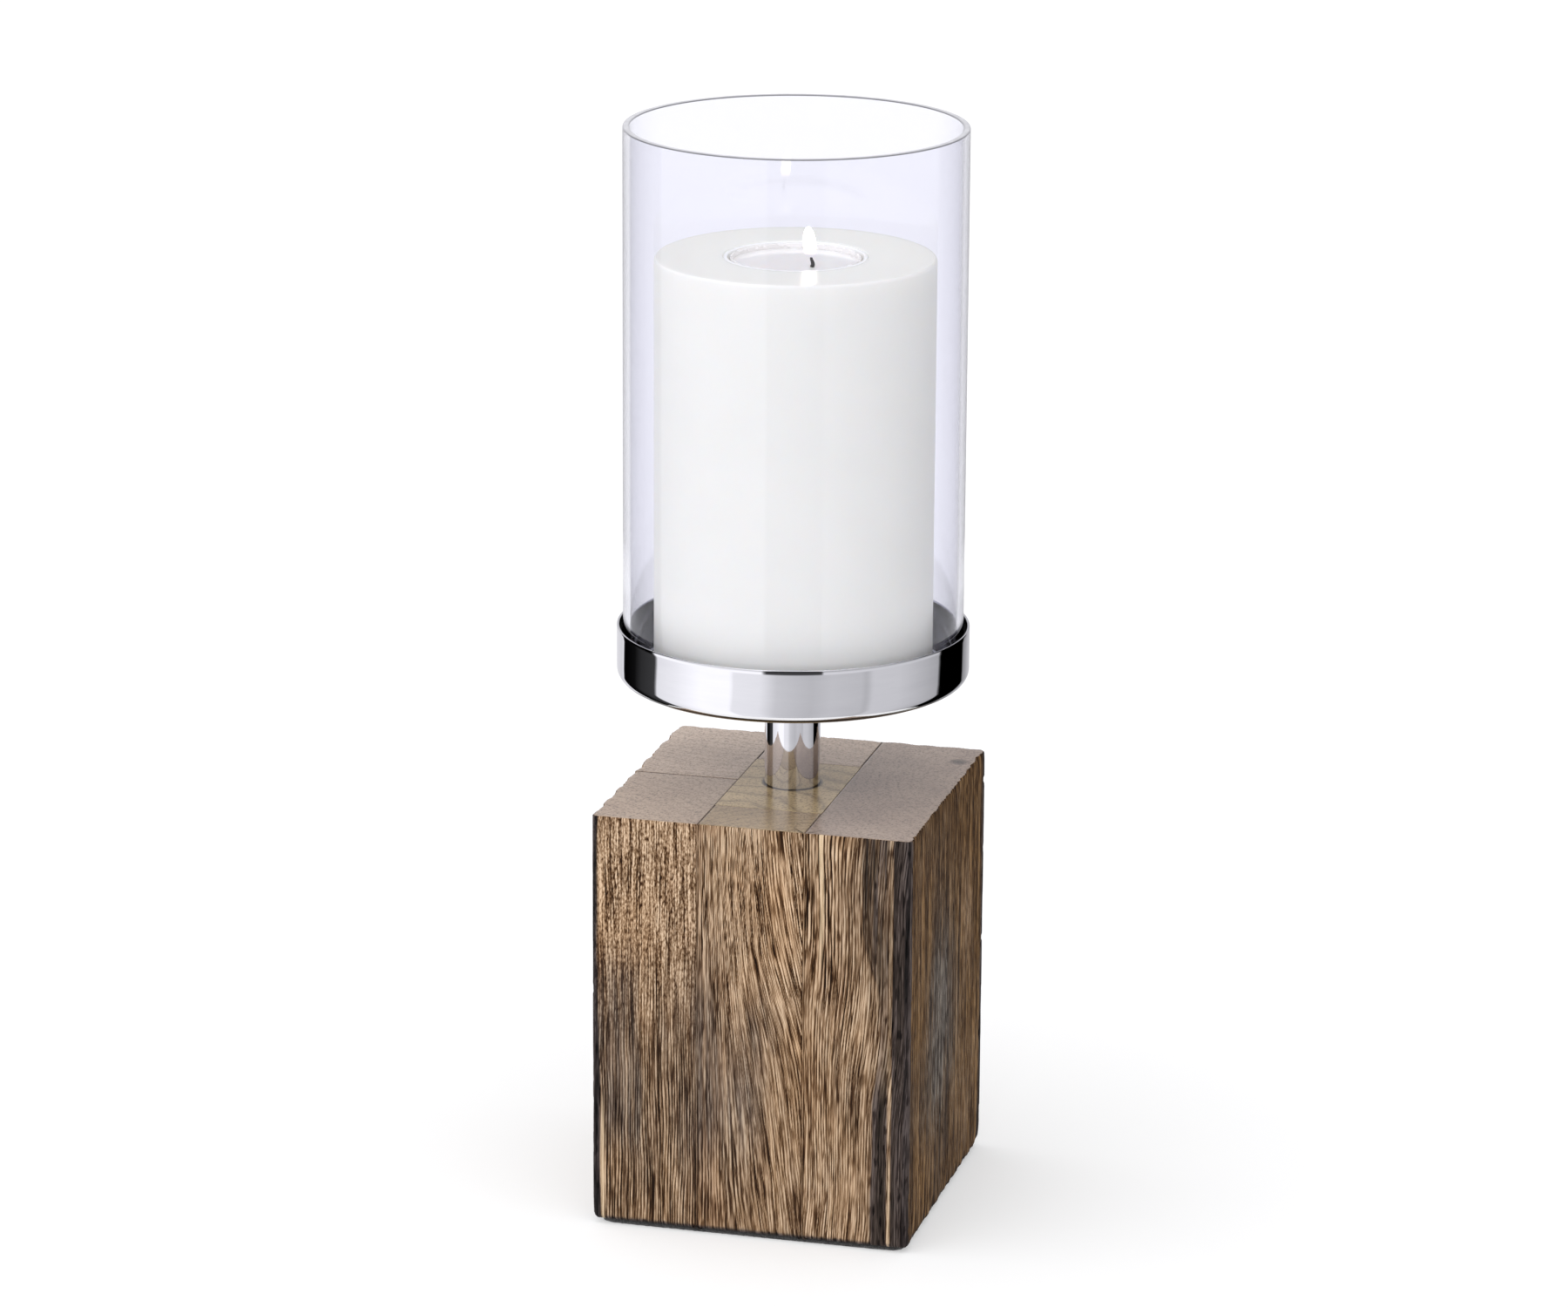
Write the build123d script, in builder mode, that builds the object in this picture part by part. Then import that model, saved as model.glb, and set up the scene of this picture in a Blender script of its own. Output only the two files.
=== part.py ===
from build123d import *
import os

# Hurricane candle lantern. A block glued up from six wood staves carries a chromed pole and
# a shallow chromed tray. A reusable pillar candle with a tea light stands in the tray, inside
# an open glass cylinder. Millimetres, +Z up, front face towards -Y. The origin is the centre
# of the felt's underside, which is what the lantern stands on.

# Wood block
BLOCK_WIDTH = 96.0
BLOCK_HEIGHT = 125.0
BLOCK_CORNER_RADIUS = 2.0
BLOCK_BOTTOM_RADIUS = 1.8
BLOCK_TOP_RADIUS = 0.6
STAVE_JOINT_X = 16.0
LEFT_JOINT_Y = -2.0
MIDDLE_FRONT_JOINT_Y = -28.0
MIDDLE_REAR_JOINT_Y = 20.0
FELT_THICKNESS = 1.4
FELT_INSET = 1.5
FELT_CORNER_RADIUS = 2.5

# Pole, and the hardware that ties it to the block
POLE_RADIUS = 8.25
POLE_WALL = 1.2
POLE_VISIBLE = 32.6
POLE_SUNK = 20.0
FIT_CLEARANCE = 0.05
PLUG_LENGTH = 30.0
PLUG_LOWER_HOLE_DEPTH = 12.0
ROD_RADIUS = 3.0
ROD_HOLE_RADIUS = 3.3
ROD_CHAMFER = 0.5
ROD_BELOW_NUT = 2.2
COUNTERBORE_RADIUS = 11.0
COUNTERBORE_DEPTH = 14.0
WASHER_THICKNESS = 1.6
FLAT_WASHER_RADIUS = 9.0
LOCK_WASHER_RADIUS = 5.9
LOCK_WASHER_SPLIT = 1.0
NUT_ACROSS_FLATS = 10.0
NUT_HEIGHT = 5.0

# Tray, and the countersunk screw in its dimple
TRAY_RADIUS = 51.8
TRAY_SHEET = 0.8
TRAY_DEPTH = 16.4
TRAY_CORNER_RADIUS = 3.6
DIMPLE_RADIUS = 5.3
DIMPLE_DEPTH = 2.6
SCREW_RADIUS = 2.5
SCREW_CLEARANCE = 0.2
SCREW_LENGTH = 14.6
SCREW_HEAD_DROP = 0.15
SCREW_HOLE_DEPTH = 15.0
HEX_KEY_SIZE = 3.0
HEX_KEY_DEPTH = 1.8

# Glass, candle and tea light
LIFT_OFF_GAP = 0.3
GLASS_RADIUS = 50.0
GLASS_WALL = 2.0
GLASS_EDGE_RADIUS = 0.8
GLASS_HEIGHT = 162.9
GLASS_ABOVE_FLOOR = 0.6
CANDLE_RADIUS = 41.0
CANDLE_HEIGHT = 125.3
CANDLE_TOP_EDGE_RADIUS = 1.0
CANDLE_BOTTOM_EDGE_RADIUS = 0.6
POCKET_RADIUS = 21.0
POCKET_DEPTH = 17.5
LINER_WALL = 1.2
LINER_FLOOR = 1.0
LINER_BELOW_TOP = 0.1
CUP_RADIUS = 19.0
CUP_WALL = 0.5
CUP_HEIGHT = 15.9
CUP_CORNER_RADIUS = 1.0
WAX_BELOW_RIM = 1.4
WICK_X = 5.9
WICK_Y = -5.7
WICK_RADIUS = 0.75
WICK_ABOVE_WAX = 2.7
SUSTAINER_RADIUS = 6.5
SUSTAINER_SHEET = 0.3
SUSTAINER_COLLAR_RADIUS = 1.4
SUSTAINER_COLLAR_HEIGHT = 3.0

# Heights that follow from the sizes above
BLOCK_TOP = FELT_THICKNESS + BLOCK_HEIGHT
POLE_BOTTOM = BLOCK_TOP - POLE_SUNK
POLE_TOP = BLOCK_TOP + POLE_VISIBLE
PLUG_BOTTOM = POLE_TOP - PLUG_LENGTH
COUNTERBORE_TOP = FELT_THICKNESS + COUNTERBORE_DEPTH
FLAT_WASHER_BOTTOM = COUNTERBORE_TOP - WASHER_THICKNESS
LOCK_WASHER_BOTTOM = FLAT_WASHER_BOTTOM - WASHER_THICKNESS
NUT_BOTTOM = LOCK_WASHER_BOTTOM - NUT_HEIGHT
ROD_BOTTOM = NUT_BOTTOM - ROD_BELOW_NUT
ROD_TOP = PLUG_BOTTOM + PLUG_LOWER_HOLE_DEPTH - ROD_CHAMFER
TRAY_FLOOR = POLE_TOP + TRAY_SHEET
TRAY_RIM = POLE_TOP + TRAY_DEPTH
GLASS_BOTTOM = TRAY_FLOOR + GLASS_ABOVE_FLOOR
CANDLE_BOTTOM = TRAY_FLOOR + LIFT_OFF_GAP
CANDLE_TOP = CANDLE_BOTTOM + CANDLE_HEIGHT
POCKET_FLOOR = CANDLE_TOP - POCKET_DEPTH
LINER_TOP = CANDLE_TOP - LINER_BELOW_TOP
CUP_BOTTOM = POCKET_FLOOR + LINER_FLOOR + LIFT_OFF_GAP
CUP_TOP = CUP_BOTTOM + CUP_HEIGHT
WAX_BOTTOM = CUP_BOTTOM + CUP_WALL + FIT_CLEARANCE
WAX_TOP = CUP_TOP - WAX_BELOW_RIM

os.makedirs("parts", exist_ok=True)


# Felt pad glued under the block, a little smaller than the block all round
with BuildPart() as felt_base:
    with BuildSketch(Plane.XY):
        felt_width = BLOCK_WIDTH - 2 * FELT_INSET
        RectangleRounded(felt_width, felt_width, FELT_CORNER_RADIUS)
    extrude(amount=FELT_THICKNESS)

felt_base.part.label = "felt_base"
export_step(felt_base.part, "parts/felt_base.step")


# The whole block with its pole socket, rod hole and nut recess, before it is cut into staves
with BuildPart() as block:
    with BuildSketch(Plane.XY.offset(FELT_THICKNESS)):
        RectangleRounded(BLOCK_WIDTH, BLOCK_WIDTH, BLOCK_CORNER_RADIUS)
    extrude(amount=BLOCK_HEIGHT)
    fillet(block.faces().sort_by(Axis.Z)[0].edges(), BLOCK_BOTTOM_RADIUS)
    fillet(block.faces().sort_by(Axis.Z)[-1].edges(), BLOCK_TOP_RADIUS)
    with BuildSketch(Plane.XY.offset(BLOCK_TOP)):
        Circle(POLE_RADIUS + FIT_CLEARANCE)
    extrude(amount=-POLE_SUNK, mode=Mode.SUBTRACT)
    with BuildSketch(Plane.XY.offset(FELT_THICKNESS)):
        Circle(ROD_HOLE_RADIUS)
    extrude(amount=BLOCK_HEIGHT, mode=Mode.SUBTRACT)
    with BuildSketch(Plane.XY.offset(FELT_THICKNESS)):
        Circle(COUNTERBORE_RADIUS)
    extrude(amount=COUNTERBORE_DEPTH, mode=Mode.SUBTRACT)

# Each stave is the part of the block inside one rectangle: low x, high x, low y, high y
HALF_BLOCK = BLOCK_WIDTH / 2
STAVES = {
    "left_front_stave": (-HALF_BLOCK, -STAVE_JOINT_X, -HALF_BLOCK, LEFT_JOINT_Y),
    "left_rear_stave": (-HALF_BLOCK, -STAVE_JOINT_X, LEFT_JOINT_Y, HALF_BLOCK),
    "middle_front_stave": (-STAVE_JOINT_X, STAVE_JOINT_X, -HALF_BLOCK, MIDDLE_FRONT_JOINT_Y),
    "middle_centre_stave": (-STAVE_JOINT_X, STAVE_JOINT_X, MIDDLE_FRONT_JOINT_Y, MIDDLE_REAR_JOINT_Y),
    "middle_rear_stave": (-STAVE_JOINT_X, STAVE_JOINT_X, MIDDLE_REAR_JOINT_Y, HALF_BLOCK),
    "right_stave": (STAVE_JOINT_X, HALF_BLOCK, -HALF_BLOCK, HALF_BLOCK),
}

for stave_name, (x_low, x_high, y_low, y_high) in STAVES.items():
    with BuildPart() as stave:
        add(block.part)
        with BuildSketch(Plane.XY.offset(FELT_THICKNESS)):
            with Locations(((x_low + x_high) / 2, (y_low + y_high) / 2)):
                Rectangle(x_high - x_low, y_high - y_low)
        extrude(amount=BLOCK_HEIGHT, mode=Mode.INTERSECT)
    stave.part.label = stave_name
    export_step(stave.part, f"parts/{stave_name}.step")


# Chromed tube, sunk in the block's socket and standing up to the underside of the tray
with BuildPart() as pole_tube:
    with BuildSketch(Plane.XY.offset(POLE_BOTTOM)):
        Circle(POLE_RADIUS)
        Circle(POLE_RADIUS - POLE_WALL, mode=Mode.SUBTRACT)
    extrude(amount=POLE_TOP - POLE_BOTTOM)

pole_tube.part.label = "pole_tube"
export_step(pole_tube.part, "parts/pole_tube.step")


# Steel plug fixed in the tube's top: countersunk and tapped above for the tray screw, and
# tapped below for the tie rod. Tapped holes are plain bores.
dimple_side = TRAY_SHEET * 2 ** 0.5
dimple_reach = DIMPLE_DEPTH + TRAY_SHEET
plug_mouth = DIMPLE_RADIUS - TRAY_SHEET + dimple_side + FIT_CLEARANCE
plug_mouth_depth = dimple_reach - TRAY_SHEET + 2 * FIT_CLEARANCE
plug_bore = SCREW_RADIUS + FIT_CLEARANCE
with BuildPart() as top_plug:
    with BuildSketch(Plane.XZ):
        with BuildLine():
            Polyline(
                (0, PLUG_BOTTOM + PLUG_LOWER_HOLE_DEPTH),
                (0, POLE_TOP - SCREW_HOLE_DEPTH),
                (plug_bore, POLE_TOP - SCREW_HOLE_DEPTH),
                (plug_bore, POLE_TOP - plug_mouth_depth),
                (plug_mouth - plug_mouth_depth, POLE_TOP - plug_mouth_depth),
                (plug_mouth, POLE_TOP),
                (POLE_RADIUS - POLE_WALL - FIT_CLEARANCE, POLE_TOP),
                (POLE_RADIUS - POLE_WALL - FIT_CLEARANCE, PLUG_BOTTOM),
                (ROD_RADIUS + FIT_CLEARANCE, PLUG_BOTTOM),
                (ROD_RADIUS + FIT_CLEARANCE, PLUG_BOTTOM + PLUG_LOWER_HOLE_DEPTH),
                close=True,
            )
        make_face()
    revolve(axis=Axis.Z)

top_plug.part.label = "top_plug"
export_step(top_plug.part, "parts/top_plug.step")


# M6 rod that pulls the pole down into the block
with BuildPart() as tie_rod:
    with BuildSketch(Plane.XY.offset(ROD_BOTTOM)):
        Circle(ROD_RADIUS)
    extrude(amount=ROD_TOP - ROD_BOTTOM)
    chamfer(tie_rod.edges().filter_by(GeomType.CIRCLE), ROD_CHAMFER)

tie_rod.part.label = "tie_rod"
export_step(tie_rod.part, "parts/tie_rod.step")


# Flat washer, bearing on the roof of the nut recess
with BuildPart() as flat_washer:
    with BuildSketch(Plane.XY.offset(FLAT_WASHER_BOTTOM)):
        Circle(FLAT_WASHER_RADIUS)
        Circle(ROD_HOLE_RADIUS, mode=Mode.SUBTRACT)
    extrude(amount=WASHER_THICKNESS)

flat_washer.part.label = "flat_washer"
export_step(flat_washer.part, "parts/flat_washer.step")


# Split spring washer, shown pressed flat
with BuildPart() as lock_washer:
    with BuildSketch(Plane.XY.offset(LOCK_WASHER_BOTTOM)):
        Circle(LOCK_WASHER_RADIUS)
        Circle(ROD_HOLE_RADIUS, mode=Mode.SUBTRACT)
        with Locations((LOCK_WASHER_RADIUS / 2, 0)):
            Rectangle(LOCK_WASHER_RADIUS, LOCK_WASHER_SPLIT, mode=Mode.SUBTRACT)
    extrude(amount=WASHER_THICKNESS)

lock_washer.part.label = "lock_washer"
export_step(lock_washer.part, "parts/lock_washer.step")


# M6 hexagon nut
with BuildPart() as hex_nut:
    with BuildSketch(Plane.XY.offset(NUT_BOTTOM)):
        RegularPolygon(NUT_ACROSS_FLATS / 2, 6, major_radius=False)
        Circle(ROD_RADIUS + FIT_CLEARANCE, mode=Mode.SUBTRACT)
    extrude(amount=NUT_HEIGHT)

hex_nut.part.label = "hex_nut"
export_step(hex_nut.part, "parts/hex_nut.step")


# Tray spun from sheet: flat floor, rounded corner, upright rim with a round edge, and a
# conical dimple in the middle that takes the screw's head
tray_inner_radius = TRAY_RADIUS - TRAY_SHEET
corner_centre = TRAY_RADIUS - TRAY_CORNER_RADIUS
inner_corner_radius = TRAY_CORNER_RADIUS - TRAY_SHEET
screw_hole_radius = SCREW_RADIUS + SCREW_CLEARANCE
rim_radius = TRAY_SHEET / 2
dimple_floor = TRAY_FLOOR - DIMPLE_DEPTH
dimple_bottom = TRAY_FLOOR - dimple_reach
with BuildPart() as tray:
    with BuildSketch(Plane.XZ):
        with BuildLine():
            inside = Polyline(
                (screw_hole_radius, dimple_bottom),
                (screw_hole_radius, dimple_floor),
                (DIMPLE_RADIUS, TRAY_FLOOR),
                (corner_centre, TRAY_FLOOR),
            )
            inner_corner = JernArc(inside @ 1, (1, 0), inner_corner_radius, 90)
            inner_wall = Line(inner_corner @ 1, (tray_inner_radius, TRAY_RIM - rim_radius))
            rim_edge = JernArc(inner_wall @ 1, (0, 1), rim_radius, -180)
            outer_wall = Line(rim_edge @ 1, (TRAY_RADIUS, POLE_TOP + TRAY_CORNER_RADIUS))
            outer_corner = JernArc(outer_wall @ 1, (0, -1), TRAY_CORNER_RADIUS, -90)
            Polyline(
                outer_corner @ 1,
                (DIMPLE_RADIUS - TRAY_SHEET + dimple_side, POLE_TOP),
                (DIMPLE_RADIUS - dimple_reach + dimple_side, dimple_bottom),
                (screw_hole_radius, dimple_bottom),
            )
        make_face()
    revolve(axis=Axis.Z)

tray.part.label = "tray"
export_step(tray.part, "parts/tray.step")


# M5 countersunk screw with a hexagon socket, just below the tray's floor
head_top = TRAY_FLOOR - SCREW_HEAD_DROP
head_radius = DIMPLE_RADIUS - SCREW_HEAD_DROP - 2 * FIT_CLEARANCE
head_bottom = head_top - (head_radius - SCREW_RADIUS)
screw_tip = head_top - SCREW_LENGTH
with BuildPart() as tray_screw:
    with BuildSketch(Plane.XZ):
        with BuildLine():
            Polyline(
                (0, screw_tip),
                (SCREW_RADIUS - ROD_CHAMFER, screw_tip),
                (SCREW_RADIUS, screw_tip + ROD_CHAMFER),
                (SCREW_RADIUS, head_bottom),
                (head_radius, head_top),
                (0, head_top),
                close=True,
            )
        make_face()
    revolve(axis=Axis.Z)
    with BuildSketch(Plane.XY.offset(head_top)):
        RegularPolygon(HEX_KEY_SIZE / 2, 6, major_radius=False)
    extrude(amount=-HEX_KEY_DEPTH, mode=Mode.SUBTRACT)

tray_screw.part.label = "tray_screw"
export_step(tray_screw.part, "parts/tray_screw.step")


# Glass tube, open at both ends, with fire-polished edges
with BuildPart() as glass_cylinder:
    with BuildSketch(Plane.XZ):
        with Locations((GLASS_RADIUS - GLASS_WALL / 2, GLASS_BOTTOM + GLASS_HEIGHT / 2)):
            RectangleRounded(GLASS_WALL, GLASS_HEIGHT, GLASS_EDGE_RADIUS)
    revolve(axis=Axis.Z)

glass_cylinder.part.label = "glass_cylinder"
export_step(glass_cylinder.part, "parts/glass_cylinder.step")


# Cast pillar candle with a flat-bottomed pocket in its top
with BuildPart() as candle_body:
    with BuildSketch(Plane.XY.offset(CANDLE_BOTTOM)):
        Circle(CANDLE_RADIUS)
    extrude(amount=CANDLE_HEIGHT)
    fillet(candle_body.edges().sort_by(Axis.Z)[-1], CANDLE_TOP_EDGE_RADIUS)
    fillet(candle_body.edges().sort_by(Axis.Z)[0], CANDLE_BOTTOM_EDGE_RADIUS)
    with BuildSketch(Plane.XY.offset(CANDLE_TOP)):
        Circle(POCKET_RADIUS)
    extrude(amount=-POCKET_DEPTH, mode=Mode.SUBTRACT)

candle_body.part.label = "candle_body"
export_step(candle_body.part, "parts/candle_body.step")


# Heat-proof liner cup in the pocket
with BuildPart() as pocket_liner:
    with BuildSketch(Plane.XY.offset(POCKET_FLOOR)):
        Circle(POCKET_RADIUS - FIT_CLEARANCE)
    extrude(amount=LINER_TOP - POCKET_FLOOR)
    with BuildSketch(Plane.XY.offset(POCKET_FLOOR + LINER_FLOOR)):
        Circle(POCKET_RADIUS - FIT_CLEARANCE - LINER_WALL)
    extrude(amount=LINER_TOP - POCKET_FLOOR, mode=Mode.SUBTRACT)

pocket_liner.part.label = "pocket_liner"
export_step(pocket_liner.part, "parts/pocket_liner.step")


# Clear cup of the tea light
with BuildPart() as tealight_cup:
    with BuildSketch(Plane.XY.offset(CUP_BOTTOM)):
        Circle(CUP_RADIUS)
    extrude(amount=CUP_HEIGHT)
    fillet(tealight_cup.faces().sort_by(Axis.Z)[0].edges(), CUP_CORNER_RADIUS)
    with BuildSketch(Plane.XY.offset(CUP_BOTTOM + CUP_WALL)):
        Circle(CUP_RADIUS - CUP_WALL)
    extrude(amount=CUP_HEIGHT, mode=Mode.SUBTRACT)

tealight_cup.part.label = "tealight_cup"
export_step(tealight_cup.part, "parts/tealight_cup.step")


# Sheet-metal foot that holds the wick, standing off centre on the cup's floor
wick_centre = (WICK_X, WICK_Y)
foot_bottom = CUP_BOTTOM + CUP_WALL
with BuildPart() as wick_sustainer:
    with BuildSketch(Plane.XY.offset(foot_bottom)):
        with Locations(wick_centre):
            Circle(SUSTAINER_RADIUS)
    extrude(amount=SUSTAINER_SHEET)
    with BuildSketch(Plane.XY.offset(foot_bottom)):
        with Locations(wick_centre):
            Circle(SUSTAINER_COLLAR_RADIUS)
    extrude(amount=SUSTAINER_COLLAR_HEIGHT)
    with BuildSketch(Plane.XY.offset(foot_bottom)):
        with Locations(wick_centre):
            Circle(WICK_RADIUS + FIT_CLEARANCE)
    extrude(amount=SUSTAINER_COLLAR_HEIGHT, mode=Mode.SUBTRACT)

wick_sustainer.part.label = "wick_sustainer"
export_step(wick_sustainer.part, "parts/wick_sustainer.step")


# Wax fill of the cup, hollowed where the wick and its foot are
with BuildPart() as tealight_wax:
    with BuildSketch(Plane.XY.offset(WAX_BOTTOM)):
        Circle(CUP_RADIUS - CUP_WALL - FIT_CLEARANCE)
    extrude(amount=WAX_TOP - WAX_BOTTOM)
    with BuildSketch(Plane.XY.offset(WAX_BOTTOM)):
        with Locations(wick_centre):
            Circle(SUSTAINER_RADIUS + FIT_CLEARANCE)
    extrude(amount=SUSTAINER_SHEET, mode=Mode.SUBTRACT)
    with BuildSketch(Plane.XY.offset(WAX_BOTTOM)):
        with Locations(wick_centre):
            Circle(SUSTAINER_COLLAR_RADIUS + FIT_CLEARANCE)
    extrude(amount=SUSTAINER_COLLAR_HEIGHT, mode=Mode.SUBTRACT)
    with BuildSketch(Plane.XY.offset(WAX_BOTTOM)):
        with Locations(wick_centre):
            Circle(WICK_RADIUS + FIT_CLEARANCE)
    extrude(amount=WAX_TOP - WAX_BOTTOM, mode=Mode.SUBTRACT)

tealight_wax.part.label = "tealight_wax"
export_step(tealight_wax.part, "parts/tealight_wax.step")


# Cotton wick, standing a little above the wax
with BuildPart() as wick:
    with BuildSketch(Plane.XY.offset(foot_bottom)):
        with Locations(wick_centre):
            Circle(WICK_RADIUS)
    extrude(amount=WAX_TOP + WICK_ABOVE_WAX - foot_bottom)
    fillet(wick.edges().sort_by(Axis.Z)[-1], WICK_RADIUS / 2)

wick.part.label = "wick"
export_step(wick.part, "parts/wick.step")
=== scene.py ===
import math

import bmesh
import bpy
import numpy as np
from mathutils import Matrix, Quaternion, Vector


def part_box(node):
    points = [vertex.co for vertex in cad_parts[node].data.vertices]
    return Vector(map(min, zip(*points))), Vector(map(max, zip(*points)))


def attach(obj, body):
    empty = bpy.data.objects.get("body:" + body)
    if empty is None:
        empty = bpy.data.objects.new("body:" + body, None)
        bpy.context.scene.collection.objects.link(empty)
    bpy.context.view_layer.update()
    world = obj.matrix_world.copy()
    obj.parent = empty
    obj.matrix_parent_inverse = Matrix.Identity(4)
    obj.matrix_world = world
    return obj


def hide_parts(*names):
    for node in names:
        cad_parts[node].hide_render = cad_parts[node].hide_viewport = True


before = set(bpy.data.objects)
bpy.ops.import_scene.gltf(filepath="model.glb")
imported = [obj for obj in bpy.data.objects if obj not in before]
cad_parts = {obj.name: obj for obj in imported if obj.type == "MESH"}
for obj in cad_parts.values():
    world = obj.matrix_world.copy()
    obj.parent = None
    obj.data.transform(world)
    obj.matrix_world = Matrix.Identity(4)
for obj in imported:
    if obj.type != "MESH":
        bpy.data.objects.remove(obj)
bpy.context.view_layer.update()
MM = 0.001


# ---------------------------------------------------------------- camera

CAMERA_AZIMUTH = math.radians(14.40)
CAMERA_YAW = math.radians(0.09)
CAMERA_PITCH = math.radians(15.945)
CAMERA_ROLL = math.radians(0.36)
CAMERA_DISTANCE = 1.698
CAMERA_HEIGHT = 0.651
CAMERA_LENS = 137.9
SENSOR_WIDTH = 36.0


def make_camera():
    """The camera in front of the lantern, a little to its right and above it, looking down."""
    data = bpy.data.cameras.new("camera")
    data.sensor_width = SENSOR_WIDTH
    data.lens = CAMERA_LENS
    camera = bpy.data.objects.new("camera", data)
    bpy.context.scene.collection.objects.link(camera)
    heading = CAMERA_AZIMUTH + CAMERA_YAW
    forward = Vector((
        -math.sin(heading) * math.cos(CAMERA_PITCH),
        math.cos(heading) * math.cos(CAMERA_PITCH),
        -math.sin(CAMERA_PITCH),
    ))
    camera.location = (
        CAMERA_DISTANCE * math.sin(CAMERA_AZIMUTH),
        -CAMERA_DISTANCE * math.cos(CAMERA_AZIMUTH),
        CAMERA_HEIGHT,
    )
    camera.rotation_mode = "QUATERNION"
    roll = Quaternion((0, 0, 1), CAMERA_ROLL)
    camera.rotation_quaternion = forward.to_track_quat("-Z", "Y") @ roll
    bpy.context.scene.camera = camera


# ---------------------------------------------------------------- noise and mesh helpers

def lattice_noise(u, v, seed):
    """Gradient noise, about -1 to 1, over cells one unit wide. The same seed gives the same field."""
    angles = np.random.default_rng(seed).random((256, 256)) * 2 * np.pi
    cell_u, cell_v = np.floor(u).astype(int), np.floor(v).astype(int)
    inside_u, inside_v = u - cell_u, v - cell_v
    ease_u = inside_u ** 3 * (inside_u * (inside_u * 6 - 15) + 10)
    ease_v = inside_v ** 3 * (inside_v * (inside_v * 6 - 15) + 10)

    def corner(step_u, step_v):
        angle = angles[(cell_u + step_u) & 255, (cell_v + step_v) & 255]
        return np.cos(angle) * (inside_u - step_u) + np.sin(angle) * (inside_v - step_v)

    low = corner(0, 0) * (1 - ease_u) + corner(1, 0) * ease_u
    high = corner(0, 1) * (1 - ease_u) + corner(1, 1) * ease_u
    return 1.5 * (low * (1 - ease_v) + high * ease_v)


def smooth_step(low, high, value):
    """0 below low, 1 above high, and a smooth rise between them."""
    share = np.clip((value - low) / (high - low), 0, 1)
    return share * share * (3 - 2 * share)


def new_object(name, points, faces, materials, smooth_angle=40):
    """A mesh object from points in millimetres, smooth except at edges sharper than smooth_angle."""
    mesh = bpy.data.meshes.new(name)
    mesh.from_pydata([tuple(p) for p in np.asarray(points) * MM], [], faces)
    for material in materials:
        mesh.materials.append(material)
    mesh.shade_smooth()
    mesh.set_sharp_from_angle(angle=math.radians(smooth_angle))
    piece = bpy.data.objects.new(name, mesh)
    bpy.context.scene.collection.objects.link(piece)
    return piece


def arc(centre, radius, start, end, steps):
    """Points on an arc in the (radius, height) plane, angles in degrees."""
    angles = np.radians(np.linspace(start, end, steps))
    return [(centre[0] + radius * math.cos(a), centre[1] + radius * math.sin(a)) for a in angles]


def lathe(name, profile, materials, segments=192, wobble=None, closed=True, smooth_angle=40):
    """A turned piece: profile points (radius, height) in millimetres swept round the Z axis.

    wobble(angle, height, radius) gives a change of radius in millimetres at each point.
    """
    profile = np.asarray(profile, float)
    angles = np.linspace(0, 2 * np.pi, segments, endpoint=False)
    count = len(profile)
    radius = np.repeat(profile[None, :, 0], segments, 0)
    height = np.repeat(profile[None, :, 1], segments, 0)
    around = np.repeat(angles[:, None], count, 1)
    if wobble is not None:
        radius = radius + wobble(around, height, radius) * (radius > 0)
    points = np.stack([radius * np.cos(around), radius * np.sin(around), height], -1).reshape(-1, 3)
    faces = []
    for i in range(segments):
        j = (i + 1) % segments
        for k in range(count if closed else count - 1):
            m = (k + 1) % count
            faces.append((i * count + k, j * count + k, j * count + m, i * count + m))
    piece = new_object(name, points, faces, materials, smooth_angle)
    build = bmesh.new()
    build.from_mesh(piece.data)
    bmesh.ops.remove_doubles(build, verts=build.verts, dist=1e-7)
    bmesh.ops.dissolve_degenerate(build, edges=build.edges, dist=1e-8)
    bmesh.ops.recalc_face_normals(build, faces=build.faces)
    build.to_mesh(piece.data)
    build.free()
    piece.data.set_sharp_from_angle(angle=math.radians(smooth_angle))
    return piece


def skin_faces(rings, count, start=0):
    """Faces over stacked rings of count points each, from point start on, with a cap at each end."""
    faces = []
    for ring in range(rings - 1):
        this = start + ring * count
        for k in range(count):
            m = (k + 1) % count
            faces.append((this + k, this + m, this + count + m, this + count + k))
    faces.append(tuple(start + k for k in range(count - 1, -1, -1)))
    faces.append(tuple(start + (rings - 1) * count + k for k in range(count)))
    return faces


def place(piece, body, slot, *nodes):
    """The piece rides on a body and stands for CAD nodes, which it hides. The slot is not used."""
    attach(piece, body)
    if nodes:
        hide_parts(*nodes)
    return piece


def box_mm(node):
    """Lowest and highest corner of a CAD node, in millimetres."""
    low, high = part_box(node)
    return np.array(low) / MM, np.array(high) / MM


def dress(node, material):
    """A CAD node that is shown as it is takes a material."""
    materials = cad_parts[node].data.materials
    materials.clear()
    materials.append(material)


# ---------------------------------------------------------------- material helpers

def new_material(name):
    """An empty node material: the material and its tree."""
    material = bpy.data.materials.new(name)
    material.use_nodes = True
    material.node_tree.nodes.clear()
    return material, material.node_tree


def add(tree, kind, inputs=None, **settings):
    """A shader node with settings and inputs: an input is a value, or a socket to join."""
    node = tree.nodes.new("ShaderNode" + kind)
    for key, value in settings.items():
        setattr(node, key, value)
    for key, value in (inputs or {}).items():
        if isinstance(value, bpy.types.NodeSocket):
            tree.links.new(value, node.inputs[key])
        else:
            node.inputs[key].default_value = value
    return node


def colour(red, green, blue):
    """A linear RGBA colour from 0 to 255 sRGB numbers."""
    def linear(value):
        share = value / 255
        return share / 12.92 if share <= 0.04045 else ((share + 0.055) / 1.055) ** 2.4
    return (linear(red), linear(green), linear(blue), 1.0)


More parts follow.
